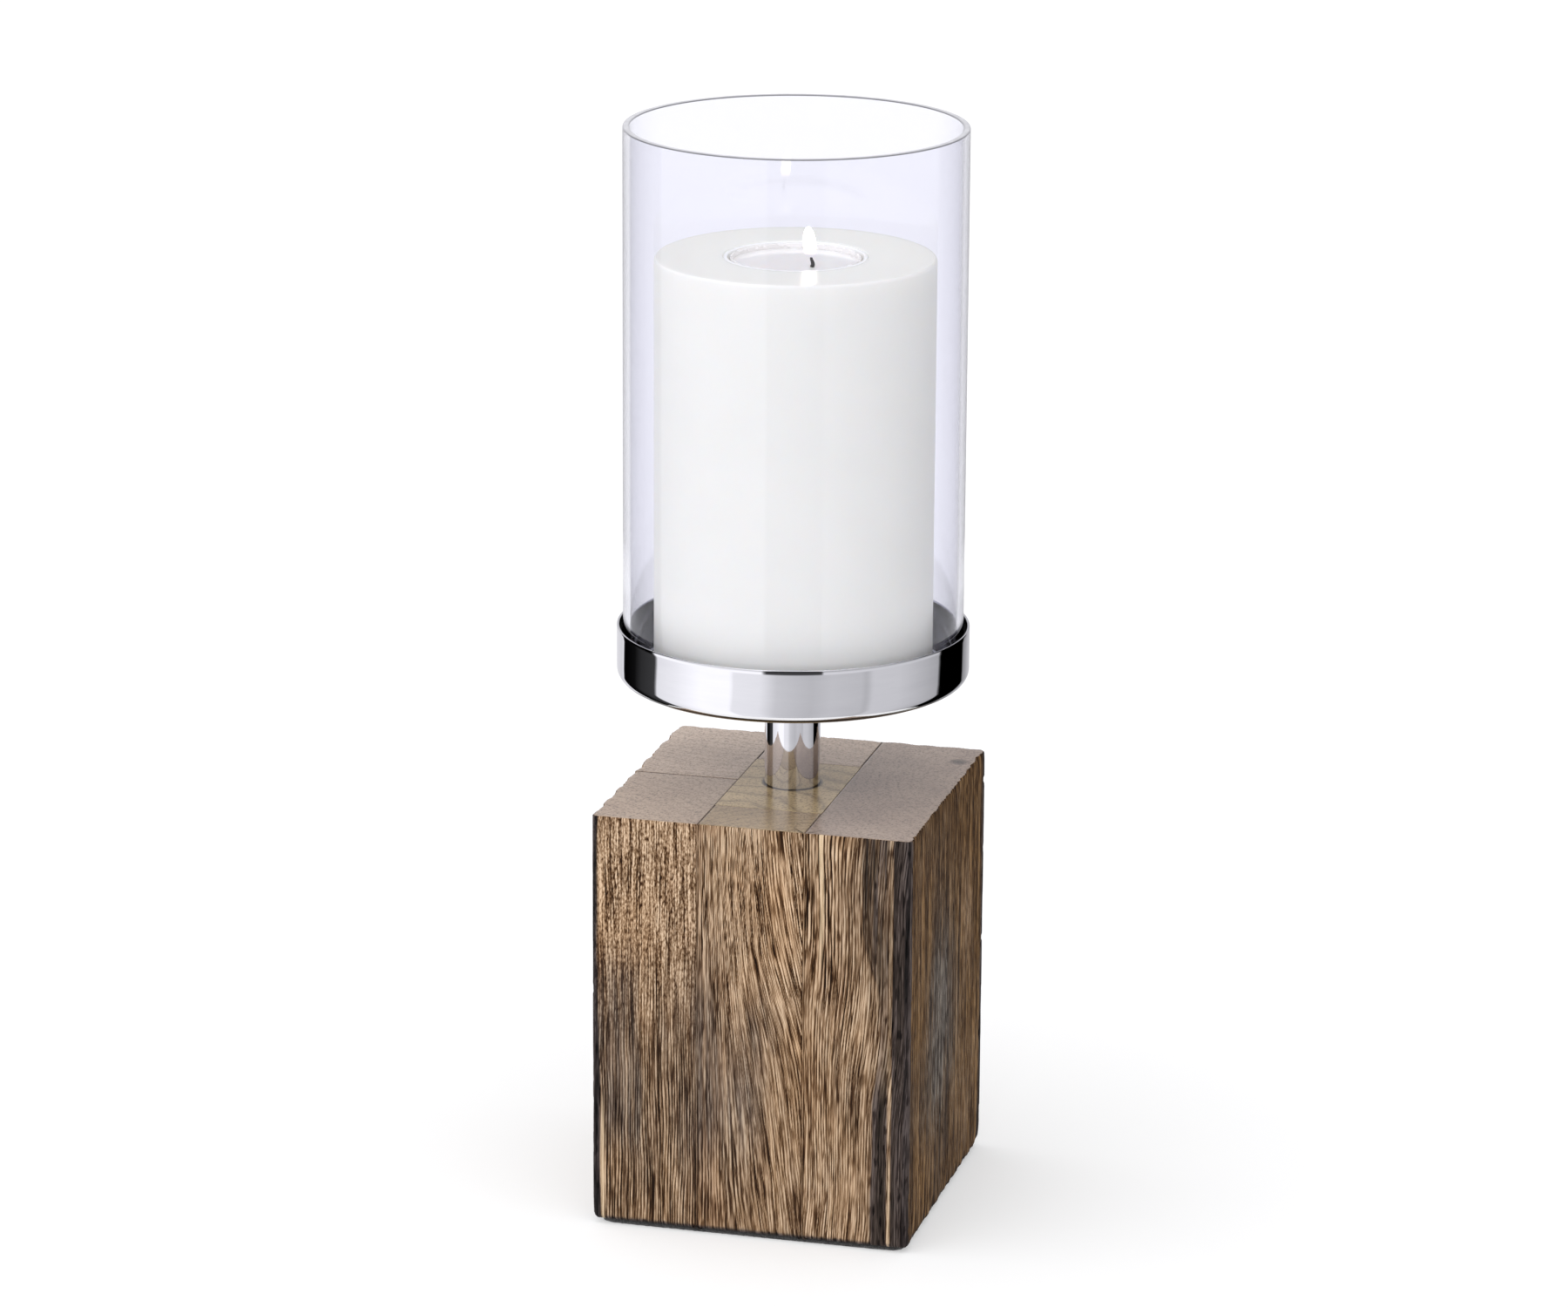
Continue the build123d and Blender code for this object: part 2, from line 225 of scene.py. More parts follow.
def ramp(tree, factor, *stops):
    """A colour ramp over factor: stops are (position, colour)."""
    node = add(tree, "ValToRGB", {"Fac": factor})
    elements = node.color_ramp.elements
    while len(elements) < len(stops):
        elements.new(0.5)
    for element, (position, value) in zip(elements, stops):
        element.position = position
        element.color = value
    return node.outputs["Color"]


def grey_ramp(tree, factor, *stops):
    """A ramp of plain numbers: stops are (position, value)."""
    return ramp(tree, factor, *[(position, (value, value, value, 1)) for position, value in stops])


def mix(tree, factor, first, second, blend="MIX"):
    """One colour mixed over another."""
    node = add(tree, "Mix", data_type="RGBA", blend_type=blend)
    for index, value in ((0, factor), (6, first), (7, second)):
        if isinstance(value, bpy.types.NodeSocket):
            tree.links.new(value, node.inputs[index])
        else:
            node.inputs[index].default_value = value
    return node.outputs[2]


def calc(tree, operation, first, second=0.0, clamp=False):
    """A Math node's result."""
    return add(tree, "Math", {0: first, 1: second}, operation=operation, use_clamp=clamp).outputs[0]


def plus(tree, first, second, clamp=False):
    """Two numbers added."""
    return calc(tree, "ADD", first, second, clamp)


def times(tree, first, second):
    """Two numbers multiplied."""
    return calc(tree, "MULTIPLY", first, second)


def map_range(tree, value, low, high, at_low=0.0, at_high=1.0):
    """A number moved from the span low to high onto the span at_low to at_high, and held there."""
    return add(tree, "MapRange", {0: value, 1: low, 2: high, 3: at_low, 4: at_high}).outputs[0]


def object_point(tree):
    """The point on the object, in metres."""
    return add(tree, "TexCoord").outputs["Object"]


def object_axes(tree):
    """X, Y and Z of the point on the object, in metres."""
    return add(tree, "SeparateXYZ", {0: object_point(tree)}).outputs


def length_from_above(tree, vector):
    """How long a vector looks from straight above."""
    flat = add(tree, "VectorMath", {0: vector, 1: (1, 1, 0)}, operation="MULTIPLY").outputs[0]
    return add(tree, "VectorMath", {0: flat}, operation="LENGTH").outputs["Value"]


def noise(tree, scale, detail=2.0, roughness=0.5, distortion=0.0):
    """Noise over the object; scale is how many cells per metre along X, Y and Z."""
    point = add(tree, "Mapping", {"Vector": object_point(tree), "Scale": scale}).outputs[0]
    return add(tree, "TexNoise", {
        "Vector": point, "Scale": 1.0, "Detail": detail, "Roughness": roughness,
        "Distortion": distortion}).outputs["Fac"]


def attribute(tree, name):
    """A number stored on the mesh's points."""
    return add(tree, "Attribute", attribute_name=name).outputs["Fac"]


def bump(tree, height, distance, strength):
    """A bump from a height from 0 to 1, with its full depth in metres."""
    inputs = {"Height": height, "Distance": distance, "Strength": strength}
    return add(tree, "Bump", inputs).outputs["Normal"]


def principled(tree, inputs):
    """A Principled shader joined to the material's output."""
    shader = add(tree, "BsdfPrincipled", inputs)
    add(tree, "OutputMaterial", {"Surface": shader.outputs[0]})


# ---------------------------------------------------------------- wood block

BRUSHED_STAVES = ["left_front_stave", "left_rear_stave", "middle_front_stave", "middle_rear_stave",
                  "right_stave"]
CENTRE_STAVE = "middle_centre_stave"
BLOCK_LOW = np.min([box_mm(node)[0] for node in BRUSHED_STAVES], 0)
BLOCK_HIGH = np.max([box_mm(node)[1] for node in BRUSHED_STAVES], 0)
LEFT_JOINT = box_mm("middle_front_stave")[0][0]
RIGHT_JOINT = box_mm("middle_front_stave")[1][0]

# In millimetres: the mesh's steps round a stave and up it, and the block's rounded corners. The
# roundings are (distance from the end, inset), and the top's rings go on inwards by its insets
FRONT_STEP = 0.17
FINE_STEP = 0.32
COARSE_STEP = 4.0
ROW_STEP = 0.85
CORNER_RADIUS = 2.0
JOINT_RADIUS = 0.25
BOTTOM_ROUNDING = [(0.0, 1.8), (0.25, 0.9), (0.9, 0.25), (1.8, 0.0)]
TOP_ROUNDING = [(0.45, 0.0), (0.2, 0.08), (0.05, 0.3)]
TOP_INSETS = (0.3, 0.9, 2.0, 4.0)

# In millimetres: the brushed grain
LINE_PITCH = 0.84
GROOVE_DEPTH = 0.40
CRACK_DEPTH = 0.30
GAP_DEPTH = 0.45
GAP_WIDTH = 0.4

# Smoky spots on the front, and golden ones on the right face: strength, then the centre, the
# width and the height in millimetres
SMOKY_SPOTS = [(0.45, -33, 26, 6, 16), (1.00, -14, 58, 4.5, 34), (0.95, -3, 42, 9, 22),
               (0.50, -24, 62, 5, 26), (0.45, 2, 70, 4, 12), (0.50, -20, 30, 4, 16),
               (0.40, 33, 112, 5, 14), (0.25, 28, 48, 6, 12)]
GOLDEN_SPOTS = [(0.20, -34, 110, 16, 26), (0.22, 26, 22, 18, 22), (0.40, 24, 78, 8, 22)]


def stave_outline(low, high):
    """Points round a stave seen from above: places, normals, what is outside, and the run.

    Sides on the outside of the block are fine, sides in a glue joint are coarse, and each
    corner is rounded: wide at the block's own corners, and tight at a joint. The run is the
    distance round the stave, so that the grain turns a corner without a break.
    """
    width, depth = (high - low)[:2]
    sides = [((low[0], low[1]), (1, 0), width, FRONT_STEP),
             ((high[0], low[1]), (0, 1), depth, FINE_STEP),
             ((high[0], high[1]), (-1, 0), width, FINE_STEP),
             ((low[0], high[1]), (0, -1), depth, FINE_STEP)]
    outer = [low[1] <= BLOCK_LOW[1] + 0.1, high[0] >= BLOCK_HIGH[0] - 0.1,
             high[1] >= BLOCK_HIGH[1] - 0.1, low[0] <= BLOCK_LOW[0] + 0.1]
    radii = [CORNER_RADIUS if outer[k] and outer[k - 1] else JOINT_RADIUS for k in range(4)]
    points, normals, outside = [], [], []
    for k, (start, direction, length, fine_step) in enumerate(sides):
        left_side = len(points)
        direction, start = np.array(direction, float), np.array(start, float)
        normal = np.array([direction[1], -direction[0]])
        first, last = radii[k], radii[(k + 1) % 4]
        step = fine_step if outer[k] else COARSE_STEP
        count = max(2, int(round((length - first - last) / step)))
        for run in np.linspace(first, length - last, count + 1):
            points.append(start + direction * run)
            normals.append(normal)
            outside.append(outer[k])
        turns = 8 if last > 1 else 2
        pivot = start + direction * (length - last) - normal * last
        for turn in np.linspace(0, math.pi / 2, turns + 2)[1:-1]:
            outward = normal * math.cos(turn) + direction * math.sin(turn)
            points.append(pivot + outward * last)
            normals.append(outward)
            outside.append(outer[k] or outer[(k + 1) % 4])
    points = np.array(points)
    steps = np.linalg.norm(np.diff(points, axis=0, append=points[:1]), axis=1)
    run = np.cumsum(steps) - steps
    if outer[0] and outer[3]:
        run[left_side:] -= steps.sum()
    return points, np.array(normals), np.array(outside), run


def on_front(y):
    """Whether a point is on the block's front face or its rounded corners."""
    return y < BLOCK_LOW[1] + CORNER_RADIUS


def on_right(x):
    """Whether a point is on the block's right face or its rounded corners."""
    return x > BLOCK_HIGH[0] - CORNER_RADIUS


def between(value, low, high, soft):
    """1 between low and high, 0 outside, with soft borders."""
    return smooth_step(low - soft, low + soft, value) * (1 - smooth_step(high - soft, high + soft, value))


def soft_spots(across, z, spots):
    """Soft spots added up: each is its strength, its centre, its width and its height."""
    return sum(strength * np.exp(-((across - centre) / width) ** 2 - ((z - centre_z) / height) ** 2)
               for strength, centre, centre_z, width, height in spots)


def grain_lean(x, z, front):
    """How far the grain lines have moved sideways at a point of the front, in millimetres.

    The left stave is straight, the middle one sweeps down to the right, and the right one
    leans a little the other way and wavers.
    """
    past_joint = smooth_step(RIGHT_JOINT - 0.5, RIGHT_JOINT + 0.5, x)
    sweep = 0.10 * (z - 50) + 3.4 * (0.87 + np.tanh((z - 74) / 18))
    sweep = sweep * smooth_step(LEFT_JOINT, 6, x) * (1 - past_joint)
    waver = -0.06 * (z - 66) * smooth_step(16, 34, x) * (1 - 0.5 * smooth_step(34, 48, x))
    waver = waver + 0.6 * np.sin(z / 11 + x / 9)
    return front * (sweep + past_joint * waver)


def groove_field(line, x, z, front, seed):
    """Depth of the wire-brushed grooves, from 0 to about 1: the deepest of four kinds.

    They are combed lines at an even pitch, long lines, short dashes and open pores. Broader
    streaks along the grain then deepen some and fill others.
    """
    left = (x < LEFT_JOINT) * front
    upper = smooth_step(42, 88, z)
    high_up = smooth_step(70, 105, z)

    wander = 0.9 * lattice_noise(line / 7, z / 26, seed + 8)
    combed = 0.5 + 0.5 * np.sin(2 * math.pi * (line / LINE_PITCH + wander))
    combed_share = np.where(left, 0.85 - 0.45 * upper, 0.53 + 0.09 * smooth_step(12, 16, x))
    combed_share = combed_share + 0.25 * lattice_noise(line / 2.6, z / 15, seed + 9)

    bands = lattice_noise(line / 4.5, z / 70, seed + 6)
    strong = between(x, -15.4, -12, 1) * smooth_step(55, 90, z)
    strong = strong + between(x, 16.4, 26, 1.5) * smooth_step(60, 95, z)
    long_lines = lattice_noise(line / 0.46, z / np.where(left, 24, 19), seed + 2)
    line_share = np.where(left, 1.0 - 0.3 * upper, np.where(front, 0.78, 0.8)) + 0.3 * bands
    line_share = line_share + (0.45 * strong - 0.1 * between(x, -12, 14, 3) * high_up) * front

    dashes = lattice_noise(line / 0.42, z / np.where(left, 7.5, 6.2), seed + 4)
    dash_share = np.where(left, 0.45, np.where(front, 0.58, 0.45)) + 0.15 * bands
    pores = lattice_noise(line / 0.50, z / 1.9, seed + 5)
    pore_share = np.where(left, 0.15 + 0.42 * upper, 0.1)
    grooves = np.max([
        combed_share * smooth_step(np.where(left, 0.5, 0.55), 1.0, combed),
        0.85 * line_share * smooth_step(0.12, 0.65, long_lines),
        dash_share * smooth_step(0.16, 0.65, dashes),
        pore_share * smooth_step(0.08, 0.55, pores)], 0)

    streaks = 0.42 * lattice_noise(line / 1.5, z / 30, seed + 10) * np.where(front, 1.0, 0.6)
    grooves = grooves + streaks * (0.35 + grooves)
    contrast = 0.4 * front * between(x, -15.4, 26, 3) * high_up
    darker = front * between(x, 16, 37, 2) * smooth_step(72, 104, z)
    darker = darker + 0.9 * on_right(x) * (1 - between(z, 30, 96, 12))
    return np.clip(grooves + contrast * (grooves - 0.42) + 0.11 * darker, 0, 1.25)


def pitted_share(x, z, front):
    """Where the grain is short open pores instead of lines, from 0 to 1: high on the left stave."""
    on_left_stave = 1 - smooth_step(LEFT_JOINT - 1, LEFT_JOINT + 1, x)
    return front * on_left_stave * (0.15 + 0.85 * smooth_step(48, 96, z))


def burnt_share(x, y, z, seed):
    """How dark the wood is, from 0 to 1: burnt edges, two burnt strips on the front's right, and a
    near-black band round the foot.
    """
    ragged = 0.5 * lattice_noise(x / 2 + y / 2, z / 16, seed)
    streaks = smooth_step(-0.25, 0.25, lattice_noise(x / 0.7, z / 30, seed + 1))
    front = on_front(y)
    low_down, high_up = smooth_step(62, 44, z), smooth_step(76, 100, z)
    edge_strip = 0.96 * front * smooth_step(-0.25, 0.25, x - 42.5 - 0.25 * ragged)
    strip_start = 38.6 - 2.0 * low_down - 5.2 * high_up + ragged
    strip = front * between(x, strip_start, 41.5, 0.5) * (0.6 + 0.35 * low_down + 0.32 * high_up * streaks)
    halo = (0.22 + 0.16 * high_up) * front * smooth_step(28, 38, x)
    left_width = 1.9 + 0.8 * smooth_step(80, 40, z) + 0.4 * ragged
    left = smooth_step(-0.35, 0.35, BLOCK_LOW[0] + left_width - x) * (y < BLOCK_LOW[1] + 6)
    back = smooth_step(-1.2, 1.2, y - (BLOCK_HIGH[1] - 4.4 - ragged))
    back = back * smooth_step(-1.2, 1.2, np.abs(x) - 42.5 - 1.5 * ragged)
    right_corner = smooth_step(-0.3, 0.5, BLOCK_LOW[1] + 1.3 + 0.5 * ragged - y) * on_right(x)
    # A near-black band all round the foot, 1.4 mm high.
    foot = 0.95 * smooth_step(0.6, -0.6, z - BLOCK_LOW[2] - 1.4 - 0.8 * ragged)
    return np.clip(np.max([edge_strip, strip, halo, left, back, right_corner, foot], 0), 0, 1)


def smoky_share(line, x, y, z, seed):
    """How smoky the wood is, from 0 to 1: soft grey-brown patches drawn out along the grain."""
    streaks = 0.5 + 0.5 * lattice_noise(line / 1.3, z / 26, seed)
    patches = lattice_noise(x / 14 + y / 14, z / 26, seed + 1)
    wide = between(x + 0.8 * np.sin(z / 9), -45.6, -33.2, 1.0) * between(z, 27, 84, 9)
    front = (0.95 * wide + soft_spots(x, z, SMOKY_SPOTS)) * (0.35 + 0.9 * streaks) + 0.14 * patches
    right = (soft_spots(y, z, [(1.45, -8, 58, 17, 34)]) + 0.22 * patches) * (0.35 + 0.95 * streaks)
    elsewhere = (0.2 + 0.5 * patches) * (0.5 + 0.8 * streaks)
    return np.clip(np.where(on_front(y), front, np.where(on_right(x), right, elsewhere)), 0, 1)


def toast_and_side_shade_share(x, y, z, seed):
    """How dark brown the wood is, from 0 to 1: toasted patches, least on the front, and the right face
    darkest of all, which is painted shade.
    """
    patches = 0.5 + 0.5 * lattice_noise(x / 9 + y / 9, z / 40, seed)
    front = 0.24 * smooth_step(100, 40, z) * (x < RIGHT_JOINT) + 0.14 * patches + 0.14 * (x > RIGHT_JOINT)
    # The right face is made much darker all over: painted shade on the side away from the light.
    right = 0.92 + 0.2 * patches - 0.8 * soft_spots(y, z, GOLDEN_SPOTS)
    elsewhere = 0.3 + 0.3 * patches
    return np.clip(np.where(on_right(x), right, np.where(on_front(y), front, elsewhere)), 0, 1)


def pale_share(x, y, z, seed):
    """Pale sapwood from 0 to 1: a streak high on the right stave, and thin lines by the burnt edges."""
    streak = between(x + 0.3 * np.sin(z / 6), 20.7, 21.8, 0.3) * smooth_step(80, 104, z)
    gone = smooth_step(0.15, 0.35, lattice_noise(z / 7, z * 0, seed))
    broken = between(x, 41.8, 42.2, 0.2) * (1 - gone) * (0.35 + 0.65 * smooth_step(34, 20, z))
    edge = between(x, -45.1, -44.3, 0.25) * smooth_step(44, 30, z)
    return on_front(y) * np.clip(0.85 * streak + 0.6 * broken + 0.7 * edge, 0, 1)


def edge_wear(along, z, seed):
    """How far the wood has crumbled away near the top and bottom edges, in millimetres."""
    def crumbs(shift):
        waves = lattice_noise(along / 6.0, along * 0 + shift, seed)
        nicks = lattice_noise(along / 2.0, along * 0 + shift, seed + 1)
        return np.clip(0.35 + 1.1 * waves + 0.4 * nicks, 0, 1.7)
    top = crumbs(0) * np.exp(-(BLOCK_HIGH[2] - z) / 2.0)
    return top + 1.2 * crumbs(5) * np.exp(-(z - BLOCK_LOW[2]) / 3.0)


def worn(x, y, z):
    """A point of the block moved in from the block's four sides where the edges have crumbled."""
    left = edge_wear(y, z, 31) * np.exp(-(x - BLOCK_LOW[0]) / 2)
    right = edge_wear(y, z, 33) * np.exp(-(BLOCK_HIGH[0] - x) / 2)
    front = edge_wear(x, z, 35) * np.exp(-(y - BLOCK_LOW[1]) / 2)
    back = edge_wear(x, z, 37) * np.exp(-(BLOCK_HIGH[1] - y) / 2)
    return x + left - right, y + 0.22 * front - back


def joint_gap(x, z, front):
    """The open glue joints on the front, from 0 to about 1: the left one gapes towards the foot."""
    joint = np.minimum(np.abs(x - LEFT_JOINT), np.abs(x - RIGHT_JOINT))
    width = np.where(x < 0, 0.35 + 0.9 * smooth_step(48, 18, z), 0.75)
    return front * np.exp(-(joint / GAP_WIDTH) ** 2) * width


def brushed_stave(node, seed, materials):
    """One stave as a closed mesh with its brushed grain modelled on the outside faces.

    Each ring of points is one height. The top goes on inwards in a few more rings, and takes the
    second material. The wood's shares are kept on the points for the material to read.
    """
    low, high = box_mm(node)
    outline, normals, outer, run_row = stave_outline(low, high)
    straight = np.arange(low[2] + BOTTOM_ROUNDING[-1][0], high[2] - 2 * TOP_ROUNDING[0][0], ROW_STEP)[1:]
    rows = [(low[2] + lift, inset) for lift, inset in BOTTOM_ROUNDING]
    rows += [(z, 0.0) for z in straight]
    rows += [(high[2] - drop, inset) for drop, inset in TOP_ROUNDING]
    heights, insets = np.array(rows).T
    count = len(outline)
    x, y, run, front, outside = (
        np.repeat(values[None, :], len(rows), 0)
        for values in (outline[:, 0], outline[:, 1], run_row, normals[:, 1] < -0.7, outer))
    z = np.repeat(heights[:, None], count, 1)
    line = run + grain_lean(x, z, front)
    line = line + 0.5 * lattice_noise(run / 12, z / 50, seed)
    line = line + 0.12 * lattice_noise(run / 3, z / 12, seed + 1)

    char = burnt_share(x, y, z, 70)
    grooves = groove_field(line, x, z, front, seed)
    gap = joint_gap(x, z, front)
    cracks = smooth_step(0.35, 0.6, lattice_noise(run, z / 5, seed + 20)) * char
    depth = GROOVE_DEPTH * grooves * (1 - 0.7 * char) + CRACK_DEPTH * cracks + GAP_DEPTH * gap
    shift = depth * outside + insets[:, None] * np.where(outside, 1.0, 0.4)
    px, py = worn(x - normals[None, :, 0] * shift, y - normals[None, :, 1] * shift, z)
    shares = {
        "char": np.maximum(char, np.clip(gap, 0, 1) * (x < 0)),
        "smoke": smoky_share(line, x, y, z, 80),
        # Toasted patches, and painted shade over the right face.
        "toast_and_side_shade": toast_and_side_shade_share(x, y, z, 90),
        "pale": pale_share(x, y, z, 95),
        # The groove depth, which the material also paints as shade in the grooves.
        "groove_depth_shade": np.clip(grooves * (1 - 0.4 * char) + 0.5 * cracks + gap, 0, 1.3),
        "pitted": pitted_share(x, z, front),
        "across": line * MM,
        "seam": np.where(outside, 0.0, 1.0),
    }

    rings = [np.stack([px, py, z], -1)]
    centre = (low + high)[:2] / 2
    half = (high - low)[:2] / 2
    top = np.stack([px[-1], py[-1]], -1)
    for inset in TOP_INSETS:
        ring = centre + (top - centre) * (half - inset) / half
        rings.append(np.concatenate([ring, np.full((count, 1), high[2])], 1)[None])
    points = np.concatenate(rings).reshape(-1, 3)
    faces = skin_faces(len(rows) + len(TOP_INSETS), count)
    piece = new_object(node + "_wood", points, faces, materials, 55)
    for key, values in shares.items():
        on_top = values[-1:] * (key == "across")
        values = np.concatenate([values] + [on_top] * len(TOP_INSETS)).ravel().astype(np.float32)
        piece.data.attributes.new(key, "FLOAT", "POINT").data.foreach_set("value", values)
    index = np.zeros(len(faces), np.int32)
    index[(len(rows) - 1) * count:] = 1
    index[-2] = 0
    piece.data.polygons.foreach_set("material_index", index)
    place(piece, "stand", "wood", node)


def grain_noise(tree, across_scale, along_scale, detail, shift):
    """Noise that follows the grain: across and along it, in cells per metre."""
    across = times(tree, attribute(tree, "across"), across_scale)
    along = times(tree, object_axes(tree)[2], along_scale)
    point = add(tree, "CombineXYZ", {0: across, 1: shift, 2: along}).outputs[0]
    return add(tree, "TexNoise", {
        "Vector": point, "Scale": 1.0, "Detail": detail, "Roughness": 0.6}).outputs["Fac"]


def centred(tree, factor, amount):
    """A factor moved to lie round 0 and scaled."""
    return times(tree, calc(tree, "SUBTRACT", factor, 0.5), amount)


def long_grain_material():
    """Wire-brushed wood: grain, smoky and toasted patches, burnt edges. Dark grooves and pale ridges are
    partly the grain and partly painted shade and highlight, and the right face is painted darker as shade.
    """
    material, tree = new_material("wood_brushed")
    pitted = attribute(tree, "pitted")
    lines = grain_noise(tree, 2500, 44, 1, 1.0)
    dashes = grain_noise(tree, 2700, 170, 1, 7.0)
    pits = grain_noise(tree, 2300, 800, 1, 13.0)
    tone = noise(tree, (45, 45, 14), 3, 0.55, 0.4)
    lined = calc(tree, "SUBTRACT", 1.0, times(tree, pitted, 0.6))
    # The groove depth darkens the colour: dark grooves and pale ridges, partly the wood's grain and partly
    # painted shade and highlight.
    level = plus(tree, times(tree, attribute(tree, "groove_depth_shade"), 0.86), 0.128)
    level = plus(tree, level, centred(tree, lines, 1.1))
    level = plus(tree, level, times(tree, lined, centred(tree, dashes, 1.15)))
    level = plus(tree, level, times(tree, pitted, centred(tree, pits, 1.5)), clamp=True)
    bare = ramp(tree, level,
                (0.00, colour(216, 190, 162)), (0.2, colour(176, 149, 121)),
                (0.42, colour(130, 103, 77)), (0.68, colour(70, 45, 23)), (1.00, colour(28, 15, 7)))
    warm = ramp(tree, tone,
                (0.32, colour(236, 222, 212)), (0.5, colour(255, 255, 255)), (0.7, colour(246, 230, 210)))
    bare = mix(tree, 0.8, bare, warm, "MULTIPLY")
    streaks = grain_noise(tree, 420, 16, 4, 21.0)
    banded = plus(tree, times(tree, level, 0.6), centred(tree, streaks, 2.1))
    banded = plus(tree, banded, 0.14, clamp=True)
    toast_and_shade_brown = ramp(tree, banded,
                   (0.00, colour(140, 110, 75)), (0.25, colour(97, 72, 45)),
                   (0.55, colour(56, 38, 23)), (1.00, colour(16, 10, 6)))
    blended = mix(tree, 0.5, level, banded)
    smoked = ramp(tree, blended,
                  (0.00, colour(148, 131, 114)), (0.25, colour(94, 78, 67)),
                  (0.55, colour(52, 39, 32)), (1.00, colour(15, 10, 8)))
    greyed = ramp(tree, blended,
                  (0.00, colour(140, 136, 130)), (0.25, colour(90, 86, 83)),
                  (0.55, colour(50, 45, 42)), (1.00, colour(17, 13, 12)))
    # The share of toasted patches, and of painted shade on the right face.
    toast_and_side_shade = attribute(tree, "toast_and_side_shade")
    smoked = mix(tree, toast_and_side_shade, smoked, greyed)
    burnt = ramp(tree, banded,
                 (0.00, colour(82, 73, 71)), (0.3, colour(40, 33, 32)),
                 (0.60, colour(12, 9, 9)), (1.00, colour(4, 3, 3)))
    shade = mix(tree, toast_and_side_shade, bare, toast_and_shade_brown)
    shade = mix(tree, times(tree, attribute(tree, "smoke"), 0.85), shade, smoked)
    shade = mix(tree, attribute(tree, "char"), shade, burnt)
    shade = mix(tree, attribute(tree, "pale"), shade, colour(218, 195, 163))
    rough = grey_ramp(tree, level, (0.0, 0.6), (1.0, 0.9))
    principled(tree, {
        "Base Color": shade, "Roughness": rough, "Normal": bump(tree, dashes, 0.00015, 0.8),
        "Specular IOR Level": 0.12})
    return material


def end_grain_material(name, light, dark, ring_centre, rings_per_metre, strength, knot=None, hole=None):
    """Planed and oiled end grain: fine pores, growth rings round a centre, a satin finish.

    knot is the place of a dark knot, and hole is the radius of the pole's hole, round which a thin ring of
    painted shadow is drawn. Places and sizes are in metres.
    """
    material, tree = new_material(name)
    point = object_point(tree)
    offset = add(tree, "VectorMath", {0: point, 1: ring_centre}, operation="SUBTRACT").outputs[0]
    wander = noise(tree, (60, 60, 60), 2, 0.5)
    rings = times(tree, length_from_above(tree, offset), rings_per_metre)
    wave = calc(tree, "FRACT", plus(tree, rings, times(tree, wander, 1.8)))
    ring_line = grey_ramp(tree, wave,
                          (0.0, 0.9), (0.14, 0.25), (0.5, 0.0), (0.84, 0.15), (0.97, 1.0), (1.0, 0.9))
    speckle = noise(tree, (1300, 1300, 1300), 3, 0.7)
    cloud = noise(tree, (38, 38, 38), 3, 0.55, 0.3)
    base = mix(tree, grey_ramp(tree, cloud, (0.3, 0.0), (0.7, 1.0)), dark, light)
    base = mix(tree, times(tree, ring_line, strength), base, colour(84, 64, 46))
    pores = grey_ramp(tree, speckle, (0.36, 1.0), (0.52, 0.0))
    base = mix(tree, times(tree, pores, 0.55), base, colour(74, 58, 47))
    if knot is not None:
        near = add(tree, "VectorMath", {0: point, 1: knot}, operation="DISTANCE").outputs["Value"]
        spot = grey_ramp(tree, times(tree, near, 100.0), (0.0, 0.8), (0.16, 0.65), (0.34, 0.0))
        base = mix(tree, spot, base, colour(36, 26, 21))
    if hole is not None:
        # A dark ring round the pole's foot: painted shadow.
        shadow = map_range(tree, length_from_above(tree, point), hole + 0.0003, hole + 0.0012, 0.9, 0.0)
        base = mix(tree, shadow, base, colour(30, 21, 14))
    base = mix(tree, times(tree, attribute(tree, "seam"), 0.9), base, colour(16, 12, 9))
    rough = grey_ramp(tree, speckle, (0.3, 0.25), (0.7, 0.16))
    fine = bump(tree, speckle, 0.00010, 0.45)
    principled(tree, {"Base Color": base, "Roughness": rough, "Normal": fine, "IOR": 1.5})
    return material


def make_block():
    """The five brushed staves, and the planed top of the centre one.

    For each top: the light and dark colour, the rings' centre in metres, how many there are in a
    metre and how strong, and the place of a knot.
    """
    brushed = long_grain_material()
    # These end grain colours are set lighter than the bare wood, partly as painted sheen.
    taupe = colour(192, 170, 149), colour(174, 152, 133)
    far_taupe = colour(205, 182, 162), colour(188, 166, 147)
    warm = colour(181, 157, 122), colour(161, 137, 104)
    grey = colour(174, 154, 138), colour(153, 134, 121)
    honey = colour(208, 184, 143), colour(188, 164, 124)
    tops = {
        "left_front_stave": (*taupe, (-0.075, -0.09, 0), 260, 0.16),
        "left_rear_stave": (*far_taupe, (-0.02, 0.12, 0), 260, 0.2),
        "middle_front_stave": (*warm, (0.03, -0.075, 0), 300, 0.3),
        "middle_rear_stave": (*far_taupe, (0.03, 0.08, 0), 260, 0.2),
        "right_stave": (*grey, (0.09, 0.02, 0), 300, 0.15, (0.043, 0.033, 0.1264)),
    }
    for number, node in enumerate(BRUSHED_STAVES, 1):
        end = end_grain_material("end_grain_" + node, *tops[node])
        brushed_stave(node, 100 * number, [brushed, end])
    pole_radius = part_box("pole_tube")[1][0]
    dress(CENTRE_STAVE, end_grain_material(
        "end_grain_centre", *honey, (-0.012, -0.04, 0), 120, 0.45, hole=pole_radius))


# ---------------------------------------------------------------- metal

